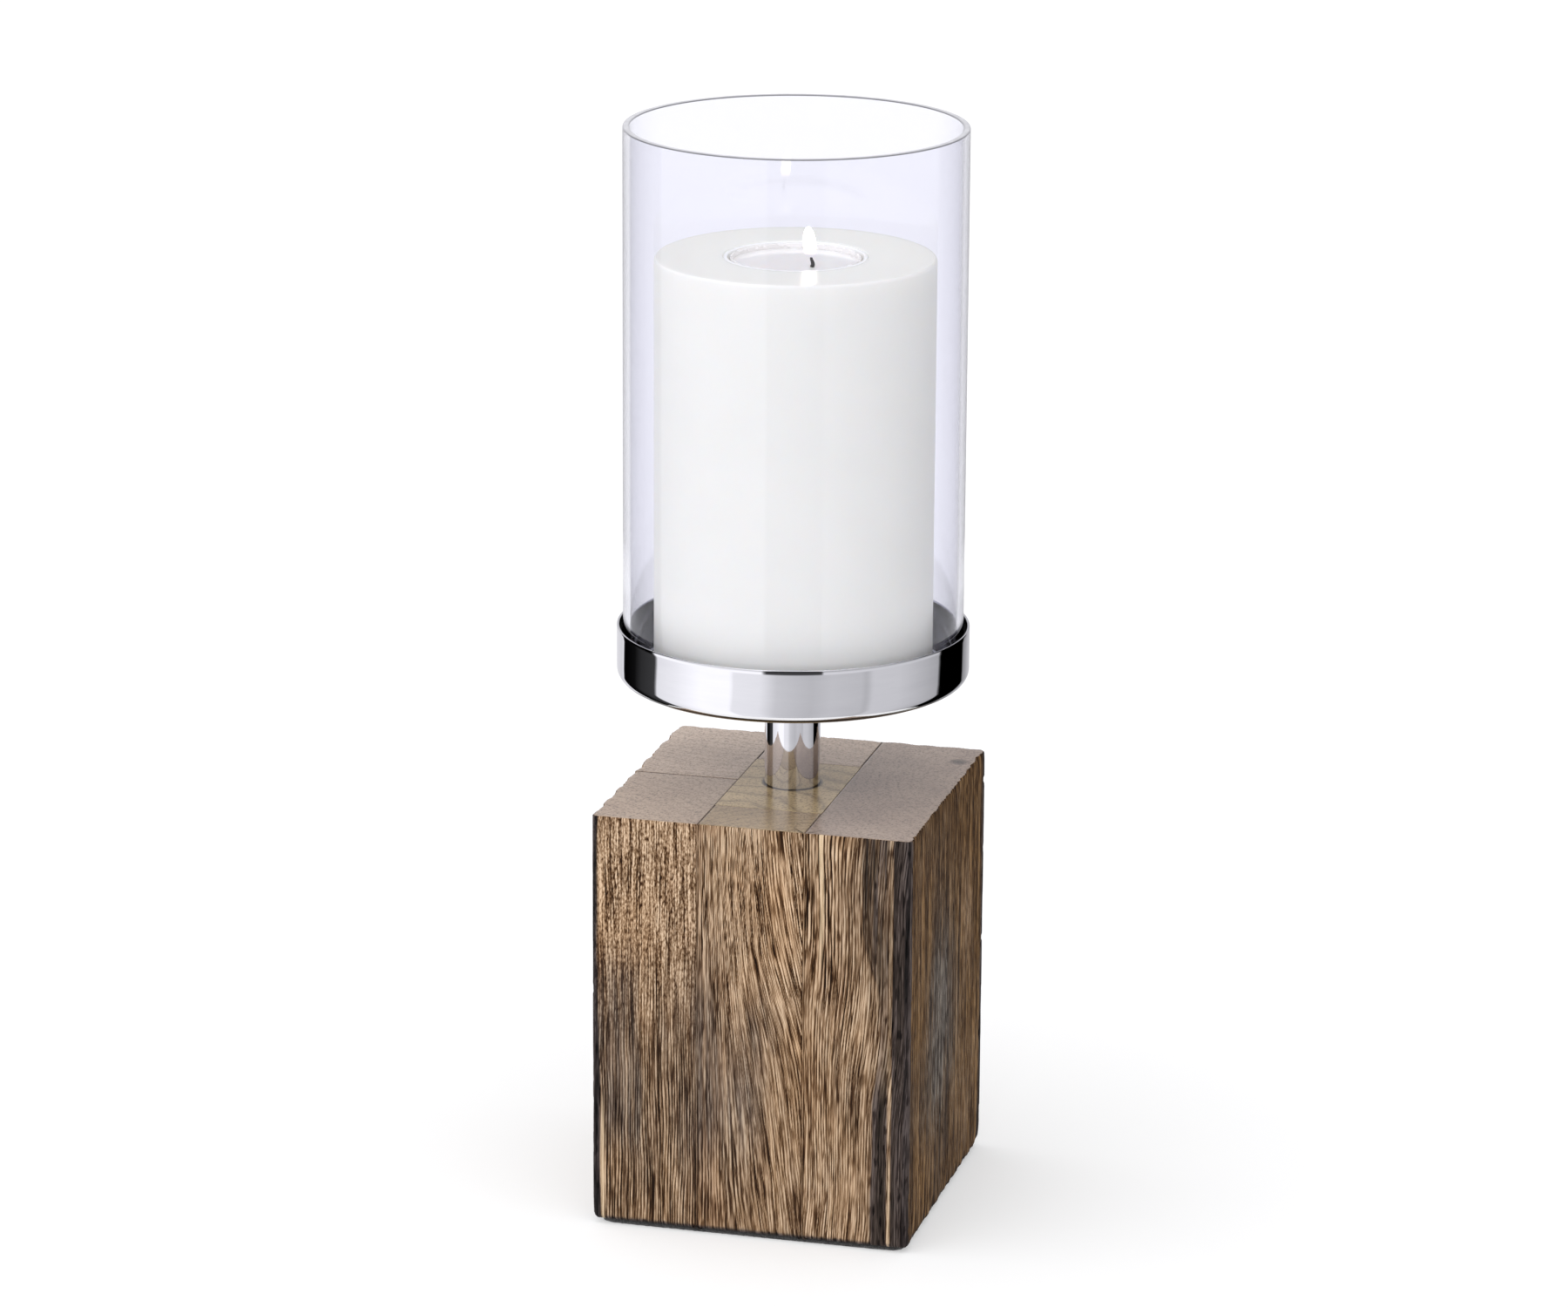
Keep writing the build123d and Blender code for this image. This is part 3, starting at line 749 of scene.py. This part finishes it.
def chrome_material(name, low_tint, high_tint, roughness):
    """Polished chrome with a faint polishing haze."""
    material, tree = new_material(name)
    haze = noise(tree, (40, 40, 260), 4, 0.6)
    rough = grey_ramp(tree, haze, (0.35, roughness), (0.75, roughness + 0.04))
    tint = ramp(tree, haze, (0.3, low_tint), (0.7, high_tint))
    ripple = bump(tree, noise(tree, (30, 30, 30), 1, 0.4), 0.00002, 0.3)
    principled(tree, {"Base Color": tint, "Metallic": 1.0, "Roughness": rough, "Normal": ripple})
    return material


def steel_material():
    """Zinc-plated steel for the hidden hardware."""
    material, tree = new_material("zinc_plated")
    spangle = noise(tree, (700, 700, 700), 3, 0.6)
    tint = ramp(tree, spangle, (0.3, (0.45, 0.46, 0.47, 1)), (0.7, (0.66, 0.67, 0.66, 1)))
    rough = grey_ramp(tree, spangle, (0.3, 0.25), (0.7, 0.45))
    fine = bump(tree, spangle, 0.00005, 0.4)
    principled(tree, {"Base Color": tint, "Metallic": 1.0, "Roughness": rough, "Normal": fine})
    return material


def make_tray(chrome, inside):
    """The spun tray, with a dimple for its countersunk screw. Its inner wall takes a near-black copy of the
    chrome, which is painted shade.
    """
    radius, _, top = box_mm("tray")[1]
    sheet, corner = 0.8, 3.6
    hole, brim, sink, slant = 2.7, 5.3, 2.6, 0.33
    floor = box_mm("pole_tube")[1][2] + sheet
    inner = radius - sheet
    profile = [(hole, floor - sink - sheet), (hole, floor - sink), (brim, floor)]
    profile += [(r, floor) for r in np.linspace(8, radius - corner, 12)]
    profile += arc((radius - corner, floor + corner - sheet), corner - sheet, -90, 0, 12)[1:]
    profile += [(inner, z) for z in np.linspace(floor + corner, top - sheet / 2, 5)]
    profile += arc((radius - sheet / 2, top - sheet / 2), sheet / 2, 180, 0, 10)[1:]
    profile += [(radius, z) for z in np.linspace(top - 1.5, floor - sheet + corner, 5)]
    profile += arc((radius - corner, floor - sheet + corner), corner, 0, -90, 14)
    profile += [(r, floor - sheet) for r in np.linspace(radius - corner - 4, brim + slant, 12)]
    profile += [(hole + slant, floor - sink - sheet)]
    tray = lathe("tray_spun", profile, [chrome, inside], 256, smooth_angle=50)
    for face in tray.data.polygons:
        reach = math.hypot(face.center.x, face.center.y) / MM
        height = face.center.z / MM
        # Faces of the inner wall take the second material: painted shade.
        if inner - 2.5 < reach < inner + 0.05 and floor - 0.05 < height < top - 0.5:
            face.material_index = 1
    place(tray, "stand", "chrome", "tray")


def make_pole(chrome):
    """The pole between the block and the tray."""
    low, high = box_mm("pole_tube")
    outer, wall = high[0], 1.2
    profile = [(outer - wall, low[2]), (outer - 0.3, low[2]), (outer, low[2] + 0.3)]
    profile += [(outer, z) for z in np.linspace(low[2] + 4, high[2] - 0.6, 16)]
    profile += [(outer - 0.2, high[2]), (outer - wall, high[2])]
    pole = lathe("pole_turned", profile, [chrome], 160, smooth_angle=50)
    place(pole, "stand", "chrome", "pole_tube")


def make_metal():
    """The tray and the pole, and plating on the hardware."""
    chrome = chrome_material("chrome", (0.82, 0.82, 0.85, 1), (0.87, 0.87, 0.895, 1), 0.015)
    # A near-black, warm copy of the chrome for the tray's inner wall: painted shade.
    inside = chrome_material("chrome_painted_shade", (0.082, 0.077, 0.064, 1), (0.12, 0.113, 0.094, 1), 0.08)
    make_tray(chrome, inside)
    make_pole(chrome)
    steel = steel_material()
    for node in ("top_plug", "tie_rod", "flat_washer", "lock_washer", "hex_nut", "tray_screw",
                 "wick_sustainer"):
        dress(node, steel)


# ---------------------------------------------------------------- glass

def clear_glass_material():
    """Clear glass, deeper in tint seen edge on. It dims the light on what is inside only a little."""
    material, tree = new_material("clear_glass")
    face_on, edge_on = (0.915, 0.915, 0.97, 1), (0.75, 0.75, 0.82, 1)
    facing = add(tree, "LayerWeight", {"Blend": 0.5}).outputs["Facing"]
    tint = ramp(tree, facing, (0.0, face_on), (0.45, face_on), (0.82, edge_on), (1.0, edge_on))
    glass = add(tree, "BsdfPrincipled", {
        "Base Color": tint, "Roughness": 0.0, "Transmission Weight": 1.0, "IOR": 1.5}).outputs[0]
    through = add(tree, "BsdfTransparent", {"Color": (0.93, 0.93, 0.95, 1)}).outputs[0]
    in_shadow = add(tree, "LightPath").outputs["Is Shadow Ray"]
    both = add(tree, "MixShader", {0: in_shadow, 1: glass, 2: through})
    add(tree, "OutputMaterial", {"Surface": both.outputs[0]})
    return material


def glass_edge_material(middle):
    """The tube's fire-polished edge, drawn as painted light: nearly black, it glows grey, paler on the flat
    of the rim and darker where it turns over, for light trapped in the wall.

    middle is the radius of the middle of the wall, in metres.
    """
    material, tree = new_material("glass_edge")
    reach = length_from_above(tree, object_point(tree))
    away = calc(tree, "ABSOLUTE", calc(tree, "SUBTRACT", reach, middle))
    turn = map_range(tree, away, 0.0005, 0.0010)
    streak = noise(tree, (220, 220, 1500), 3, 0.6)
    # The rim's grey is painted light: an emission, not a lamp.
    painted_rim_light = ramp(tree, streak, (0.3, colour(158, 158, 163)), (0.7, colour(184, 184, 190)))
    glow = mix(tree, turn, painted_rim_light, colour(122, 122, 128))
    principled(tree, {
        "Base Color": (0.02, 0.02, 0.02, 1), "Roughness": 0.2, "IOR": 1.4,
        "Emission Color": glow, "Emission Strength": 1.0})
    return material


def make_glass():
    """The glass tube, very slightly wavy, with fire-polished edges."""
    low, high = box_mm("glass_cylinder")
    outer, wall, edge = high[0], 2.0, 0.35
    inner = outer - wall
    straight = np.linspace(low[2] + 4, high[2] - 4, 48)
    heights = [low[2] + edge + 0.1, *straight, high[2] - edge - 0.1]
    profile = arc((outer - edge, low[2] + edge), edge, -90, 0, 7)
    profile += [(outer, z) for z in heights]
    profile += arc((outer - edge, high[2] - edge), edge, 0, 90, 7)
    profile += arc((inner + edge, high[2] - edge), edge, 90, 180, 7)
    profile += [(inner, z) for z in reversed(heights)]
    profile += arc((inner + edge, low[2] + edge), edge, 180, 270, 7)

    def wobble(around, height, radius):
        inside = radius < outer - wall / 2
        wave = lattice_noise(np.cos(around) * 2.2 + 9, np.sin(around) * 2.2 + height / 60 + 9, 31)
        streak = lattice_noise(around * 11 / np.pi + inside * 40, height / 180, 32)
        streak = streak * np.sin(around / 2) ** 2
        return -0.012 * (1 + wave) + 0.006 * (streak - 1) + inside * 0.02

    materials = [clear_glass_material(), glass_edge_material((outer - wall / 2) * MM)]
    glass = lathe("glass_tube", profile, materials, 256, wobble)
    for face in glass.data.polygons:
        height = face.center.z / MM
        if height > high[2] - edge or height < low[2] + edge:
            face.material_index = 1
    place(glass, "glass", "glass", "glass_cylinder")


# ---------------------------------------------------------------- candle and tea light

# The flame's warm colour, also used for the faint painted light that the wax and the cup give off.
FLAME_TINT = (1.0, 0.90, 0.76, 1)


def wax_material(name, tint, roughness, weight, depth, coat, polished_above=None, painted_flame_light=0.0):
    """White wax: light spreads in it, and its surface is very slightly uneven.

    Above polished_above, in millimetres, the surface has been melted smooth and shines.
    The flame's glow in the wax is painted light: the wax glows faintly in the flame's colour, as the flame
    itself lights nothing.
    """
    material, tree = new_material(name)
    cloud = noise(tree, (35, 35, 35), 3, 0.5)
    grain = noise(tree, (600, 600, 600), 3, 0.55)
    deep = tuple(c * 0.975 for c in tint[:3]) + (1,)
    shade = mix(tree, grey_ramp(tree, cloud, (0.3, 0.0), (0.7, 1.0)), deep, tint)
    rough = grey_ramp(tree, grain, (0.3, roughness * 0.98), (0.7, roughness * 1.02))
    if polished_above is not None:
        low, high = (polished_above - 0.3) * MM, (polished_above + 0.1) * MM
        rough = times(tree, rough, map_range(tree, object_axes(tree)[2], low, high, 1.0, 0.62))
    fine = bump(tree, grain, 0.000012, 0.12)
    principled(tree, {
        "Base Color": shade, "Roughness": rough, "Normal": fine, "Subsurface Weight": weight,
        "Subsurface Radius": (1.0, 0.8, 0.65), "Subsurface Scale": depth, "Coat Weight": coat,
        "Coat Roughness": 0.08, "IOR": 1.44, "Emission Color": FLAME_TINT, "Emission Strength": painted_flame_light})
    return material


def cloudy_plastic():
    """Clear plastic gone milky: a quarter of the light goes through, and the rest is scattered. It glows
    faintly in the flame's colour, which is painted light.
    """
    material, tree = new_material("cloudy_plastic")
    haze = noise(tree, (120, 120, 260), 3, 0.6)
    shade = ramp(tree, haze, (0.3, (0.93, 0.92, 0.90, 1)), (0.7, (0.97, 0.965, 0.95, 1)))
    rough = grey_ramp(tree, haze, (0.3, 0.2), (0.7, 0.35))
    # The faint emission is painted light from the flame.
    principled(tree, {"Base Color": shade, "Roughness": rough, "Transmission Weight": 0.25, "IOR": 1.2,
                      "Emission Color": FLAME_TINT, "Emission Strength": 0.05})
    return material


def flame_material():
    """A burning flame: pale yellow core, clear blue foot, soft see-through edge."""
    material, tree = new_material("flame")
    foot, tip = flame_span()
    height = map_range(tree, object_axes(tree)[2], foot * MM, tip * MM)
    body = ramp(tree, height, (0.0, (0.25, 0.35, 0.9, 1)), (0.16, (1.0, 0.72, 0.38, 1)),
                (0.4, (1.0, 0.93, 0.75, 1)), (1.0, (1.0, 0.96, 0.86, 1)))
    power = grey_ramp(tree, height, (0.0, 0.1), (0.15, 0.5), (0.35, 1.0), (1.0, 1.0))
    glow = add(tree, "Emission", {"Color": body, "Strength": times(tree, power, 7.0)})
    clear = add(tree, "BsdfTransparent")
    edge = add(tree, "LayerWeight", {"Blend": 0.35}).outputs["Facing"]
    solid = grey_ramp(tree, edge, (0.5, 1.0), (0.95, 0.0))
    thick = grey_ramp(tree, height, (0.0, 0.0), (0.1, 0.12), (0.36, 1.0), (1.0, 1.0))
    both = add(tree, "MixShader", {0: times(tree, solid, thick), 1: clear.outputs[0], 2: glow.outputs[0]})
    add(tree, "OutputMaterial", {"Surface": both.outputs[0]})
    return material


def flame_span():
    """Height of the flame's foot and tip, in millimetres."""
    tip = box_mm("wick")[1][2]
    return tip + 0.2, tip + 9.0


def make_pillar():
    """The pillar candle, with a pocket in its top, and sides that are very slightly uneven."""
    low, high = box_mm("candle_body")
    radius, pocket, top = high[0], 21.0, high[2]
    pocket_floor = box_mm("pocket_liner")[0][2]
    profile = [(0, low[2]), (radius * 0.5, low[2])] + arc((radius - 0.6, low[2] + 0.6), 0.6, -90, 0, 5)
    profile += [(radius, z) for z in np.linspace(low[2] + 4, top - 4, 40)]
    profile += arc((radius - 1.0, top - 1.0), 1.0, 0, 90, 8)
    profile += [(r, top) for r in np.linspace(radius - 3, pocket + 1.5, 10)]
    profile += arc((pocket + 0.35, top - 0.35), 0.35, 90, 180, 5)
    profile += [(pocket, z) for z in np.linspace(top - 3, pocket_floor, 4)] + [(0, pocket_floor)]

    def wobble(around, height, radius_here):
        waves = lattice_noise(np.cos(around) * 2 + 5, np.sin(around) * 2 + height / 30, 41)
        return -0.05 * (radius_here > 30) * (1 + waves)

    wax = wax_material("pillar_wax", (0.88, 0.88, 0.795, 1), 0.42, 0.35, 0.006, 0.0, top - 0.2)
    body = lathe("candle_pillar", profile, [wax], 192, wobble, closed=False)
    place(body, "candle", "candle_wax", "candle_body")


def make_liner():
    """The white liner of the pocket."""
    low, high = box_mm("pocket_liner")
    outer, wall, rim = high[0], 1.2, high[2] - 0.3
    inner = outer - wall
    profile = [(0, low[2]), (outer - 0.8, low[2]), (outer, low[2] + 0.8), (outer, rim)]
    profile += arc((outer - 0.3, rim), 0.3, 0, 90, 4) + arc((inner + 0.3, rim), 0.3, 90, 180, 4)
    profile += [(inner, low[2] + 1.6), (inner - 0.6, low[2] + 1.0), (0, low[2] + 1.0)]
    # The liner glows faintly in the flame's colour: painted light.
    wax = wax_material("liner_white", (0.94, 0.94, 0.90, 1), 0.3, 0.3, 0.004, 0.1, painted_flame_light=0.03)
    liner = lathe("liner_cup", profile, [wax], 128, closed=False)
    place(liner, "candle", "liner", "pocket_liner")


def make_cup():
    """The tea light's clear cup."""
    low, high = box_mm("tealight_cup")
    outer, wall = high[0], 0.5
    profile = [(0, low[2])] + arc((outer - 1, low[2] + 1), 1.0, -90, 0, 6)
    profile += [(outer, z) for z in np.linspace(low[2] + 3, high[2] - 0.5, 6)]
    profile += arc((outer - wall / 2, high[2] - wall / 2), wall / 2, 0, 180, 7)
    inner, floor = outer - wall, low[2] + wall
    profile += [(inner, floor + 0.6), (inner - 0.6, floor), (0, floor)]
    cup = lathe("cup_clear", profile, [cloudy_plastic()], 128, closed=False)
    place(cup, "tealight", "clear_cup", "tealight_cup")


def make_wax_pool():
    """The tea light's wax, which creeps up the cup a little at its edge."""
    low, high = box_mm("tealight_wax")
    radius, top = high[0], high[2]
    dip, creep = 0.1, 0.6
    profile = [(0, low[2]), (radius - 0.5, low[2]), (radius, low[2] + 0.5), (radius, top - 2)]
    for inwards in (0.0, 0.15, 0.35, 0.7, 1.2, 2.0, 3.2):
        profile.append((radius - inwards, top - dip + dip * math.exp(-inwards / creep)))
    profile += [(r, top - dip) for r in np.linspace(radius - 6, 0, 14)]
    # The pool glows faintly in the flame's colour: painted light.
    wax = wax_material("melted_wax", (0.95, 0.92, 0.87, 1), 0.14, 0.6, 0.008, 0.6, painted_flame_light=0.045)
    pool = lathe("wax_pool", profile, [wax], 128, closed=False)
    place(pool, "tealight", "tealight_wax", "tealight_wax")


def make_wick():
    """A charred, slightly bent wick of twisted strands."""
    low, high = box_mm("wick")
    centre = (low + high) / 2
    height = high[2] - low[2]
    strands, turns, bent_length = 3, 3, 4.5
    segments, rows = 10, 60
    points, faces = [], []
    for strand in range(strands):
        faces += skin_faces(rows + 1, segments, len(points))
        for row in range(rows + 1):
            share = row / rows
            z = low[2] + share * height
            above = max(0.0, z - (high[2] - bent_length)) / bent_length
            bend = 0.55 * math.sin(above * math.pi) + 0.1 * above
            twist = 2 * math.pi * (strand / strands + share * turns)
            taper = 1 - 0.45 * above ** 3
            cx = centre[0] + bend * 0.97 + 0.3 * taper * math.cos(twist)
            cy = centre[1] + bend * 0.25 + 0.3 * taper * math.sin(twist)
            for k in range(segments):
                angle = 2 * math.pi * k / segments
                reach = 0.4 * taper * (1 + 0.12 * math.sin(7 * angle + row * 1.7 + strand))
                points.append((cx + reach * math.cos(angle), cy + reach * math.sin(angle), z))
    material, tree = new_material("charred_cotton")
    ash = noise(tree, (2500, 2500, 900), 3, 0.6)
    shade = ramp(tree, ash, (0.35, (0.006, 0.005, 0.005, 1)), (0.75, (0.05, 0.04, 0.035, 1)))
    principled(tree, {"Base Color": shade, "Roughness": 0.85, "Normal": bump(tree, ash, 0.0001, 0.8)})
    wick = new_object("wick_twisted", points, faces, [material])
    place(wick, "tealight", "wick", "wick")


def make_flame():
    """The flame above the wick: a slim drop that leans a little. It lights nothing by itself."""
    low, high = box_mm("wick")
    centre = (low + high) / 2
    foot, tip = flame_span()
    profile = [(0.0, foot)]
    for share in np.linspace(0, 1, 36)[1:-1]:
        width = 1.95 * (1 - share ** 3.4) ** 0.54 * (0.82 + 0.18 * min(1.0, share / 0.5))
        profile.append((width, foot + share * (tip - foot)))
    profile.append((0.0, tip))
    flame = lathe("painted_flame_light", profile, [flame_material()], 48, closed=False)
    for vertex in flame.data.vertices:
        share = min(1.0, max(0.0, (vertex.co.z / MM - foot) / (tip - foot)))
        vertex.co.x += (centre[0] - 0.75 + 0.7 * (1 - share) ** 1.2) * MM
        vertex.co.y += (centre[1] + 0.1) * MM
    place(flame, "tealight", "tealight_wax")
    flame.visible_shadow = False
    flame.visible_diffuse = False
    flame.data.materials[0].cycles.emission_sampling = "NONE"


# ---------------------------------------------------------------- felt

def make_felt():
    """Black felt with a fuzzy, slightly uneven edge: a few rings below, round the edge and on top."""
    low, high = box_mm("felt_base")
    material, tree = new_material("black_felt")
    fibre = noise(tree, (900, 900, 900), 4, 0.7, 1.5)
    shade = ramp(tree, fibre, (0.3, (0.006, 0.006, 0.007, 1)), (0.75, (0.05, 0.048, 0.047, 1)))
    fine = bump(tree, fibre, 0.0005, 0.9)
    principled(tree, {"Base Color": shade, "Roughness": 0.95, "Normal": fine, "Sheen Weight": 0.4})
    half = (high - low)[:2] / 2
    thickness = high[2] - low[2]
    count, squareness = 480, 24
    edge = [(0.0, 0.35), (0.15, 0.1), (0.5, 0.0), (0.9, 0.0), (thickness - 0.15, 0.12), (thickness, 0.3)]
    rows = [(0.06, 0.35, share) for share in (0.01, 0.2, 0.4, 0.6, 0.8, 0.95)]
    rows += [(z, inset, 1.0) for z, inset in edge]
    rows += [(thickness, 0.3, share) for share in (0.8, 0.4, 0.01)]
    points = []
    for z, inset, share in rows:
        for k in range(count):
            angle = 2 * math.pi * k / count
            c, s = math.cos(angle), math.sin(angle)
            reach = (abs(c) ** squareness + abs(s) ** squareness) ** (-1 / squareness)
            fuzz = 0.22 * (1 + float(lattice_noise(np.array(angle * 60), np.array(z * 3.0), 61)))
            across, along = (half - inset - fuzz) * reach * share
            points.append((across * c, along * s, low[2] + z))
    felt = new_object("felt_pad", points, skin_faces(len(rows), count), [material])
    place(felt, "stand", "felt", "felt_base")


# ---------------------------------------------------------------- studio

def make_floor():
    """A plain pale floor, with a faint glow of its own so that it comes out near white."""
    size = 30.0
    mesh = bpy.data.meshes.new("floor")
    corners = [(-size, -size, 0), (size, -size, 0), (size, size, 0), (-size, size, 0)]
    mesh.from_pydata(corners, [], [(0, 1, 2, 3)])
    material, tree = new_material("pale_floor")
    principled(tree, {
        "Base Color": (0.615, 0.615, 0.615, 1), "Roughness": 0.9, "Specular IOR Level": 0.1,
        "Emission Color": (1, 1, 1, 1), "Emission Strength": 0.345})
    mesh.materials.append(material)
    floor = bpy.data.objects.new("floor", mesh)
    bpy.context.scene.collection.objects.link(floor)


def card_levels(tree, bearing, *stops):
    """Brightness of the cards by bearing: stops are (degrees from the camera, level)."""
    return grey_ramp(tree, bearing, *[(0.5 + degrees / 360, level) for degrees, level in stops])


def make_surround():
    """A ring of studio cards close round the lantern, seen only in mirrors and gloss.

    The tray's wall mirrors the lower cards, and the glass the upper ones, which are dimmer over
    the glass's own height. Both are brighter at the front left than at the front right, with a
    black flag on each side to draw the edges. The upper ones leave a dark gap for the camera.
    """
    radius, height, steps = 0.16, 0.9, 96
    mesh = bpy.data.meshes.new("surround")
    points, faces = [], []
    for step in range(steps):
        angle = 2 * math.pi * step / steps
        points += [(radius * math.sin(angle), -radius * math.cos(angle), z) for z in (0, height)]
        a, b = 2 * step, 2 * ((step + 1) % steps)
        faces.append((a, b, b + 1, a + 1))
    mesh.from_pydata(points, [], faces)
    material, tree = new_material("surround")
    x, y, z = object_axes(tree)
    turn = calc(tree, "ARCTAN2", x, times(tree, y, -1.0))
    tray_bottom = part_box("tray")[0][2]
    curve = map_range(tree, z, tray_bottom - 0.034, tray_bottom - 0.020)
    shift = times(tree, calc(tree, "POWER", curve, 1.5), -0.022)
    bearing = plus(tree, times(tree, plus(tree, turn, shift), 0.5 / math.pi), 0.5)
    low_cards = card_levels(
        tree, bearing, (-180, 0.9), (-131, 0.75), (-129, 1.1), (-127.5, 0.0), (-110, 0.005), (-102, 0.03),
        (-87.5, 0.05), (-86.5, 0.9), (-72, 1.0), (-54, 1.2), (-35.5, 1.2), (-34.5, 0.97), (-19, 0.93),
        (-10, 0.68), (9, 0.57), (20, 0.63), (37, 0.59), (40, 0.52), (44, 0.68), (61, 0.66), (81, 0.52),
        (93.5, 0.43), (94.5, 0.0), (127, 0.0), (129, 0.3), (140, 0.5), (180, 0.9))
    high_cards = card_levels(
        tree, bearing, (-180, 1.0), (-129, 1.0), (-127, 0.0), (-89, 0.0), (-87, 1.2), (-18, 1.2),
        (-16.5, 0.06), (14, 0.06), (15.5, 0.8), (92, 0.65), (94, 0.0), (129, 0.0), (131, 0.7), (180, 1.0))
    above = map_range(tree, z, tray_bottom - 0.012, tray_bottom - 0.006)
    foot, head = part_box("tray")[1][2] - 0.02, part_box("glass_cylinder")[1][2] - 0.035
    dim = grey_ramp(tree, calc(tree, "DIVIDE", z, height),
                    (0.0, 1.0), (foot / height, 1.0), ((foot + 0.01) / height, 0.62),
                    (head / height, 0.62), ((head + 0.03) / height, 1.0), (1.0, 1.0))
    level = mix(tree, above, low_cards, mix(tree, 1.0, high_cards, dim, "MULTIPLY"))
    shade = mix(tree, 1.0, level, (0.965, 0.96, 1.0, 1), "MULTIPLY")
    glow = add(tree, "Emission", {"Color": shade, "Strength": 1.0})
    add(tree, "OutputMaterial", {"Surface": glow.outputs[0]})
    material.cycles.emission_sampling = "NONE"
    mesh.materials.append(material)
    surround = bpy.data.objects.new("surround", mesh)
    bpy.context.scene.collection.objects.link(surround)
    surround.rotation_euler.z = CAMERA_AZIMUTH
    for hidden_from in ("camera", "diffuse", "transmission", "shadow", "volume_scatter"):
        setattr(surround, "visible_" + hidden_from, False)


def make_studio():
    """Soft light from all round, stronger from the front left."""
    world = bpy.data.worlds.new("studio")
    bpy.context.scene.world = world
    world.use_nodes = True
    tree = world.node_tree
    tree.nodes.clear()
    direction = add(tree, "TexCoord").outputs["Generated"]
    key = Vector((-0.26, -0.86, 0.38)).normalized()
    toward = add(tree, "VectorMath", {0: direction, 1: key}, operation="DOT_PRODUCT").outputs["Value"]
    level = map_range(tree, toward, -1.0, 1.0, 0.12, 1.88)
    back = add(tree, "Background", {"Color": (0.99, 0.99, 1.0, 1), "Strength": level})
    add(tree, "OutputWorld", {"Surface": back.outputs[0]})
    scene = bpy.context.scene
    scene.view_settings.view_transform = "Standard"
    scene.view_settings.look = "None"


make_camera()
make_block()
make_metal()
make_glass()
make_pillar()
make_liner()
make_cup()
make_wax_pool()
make_wick()
make_flame()
make_felt()
make_floor()
make_surround()
make_studio()
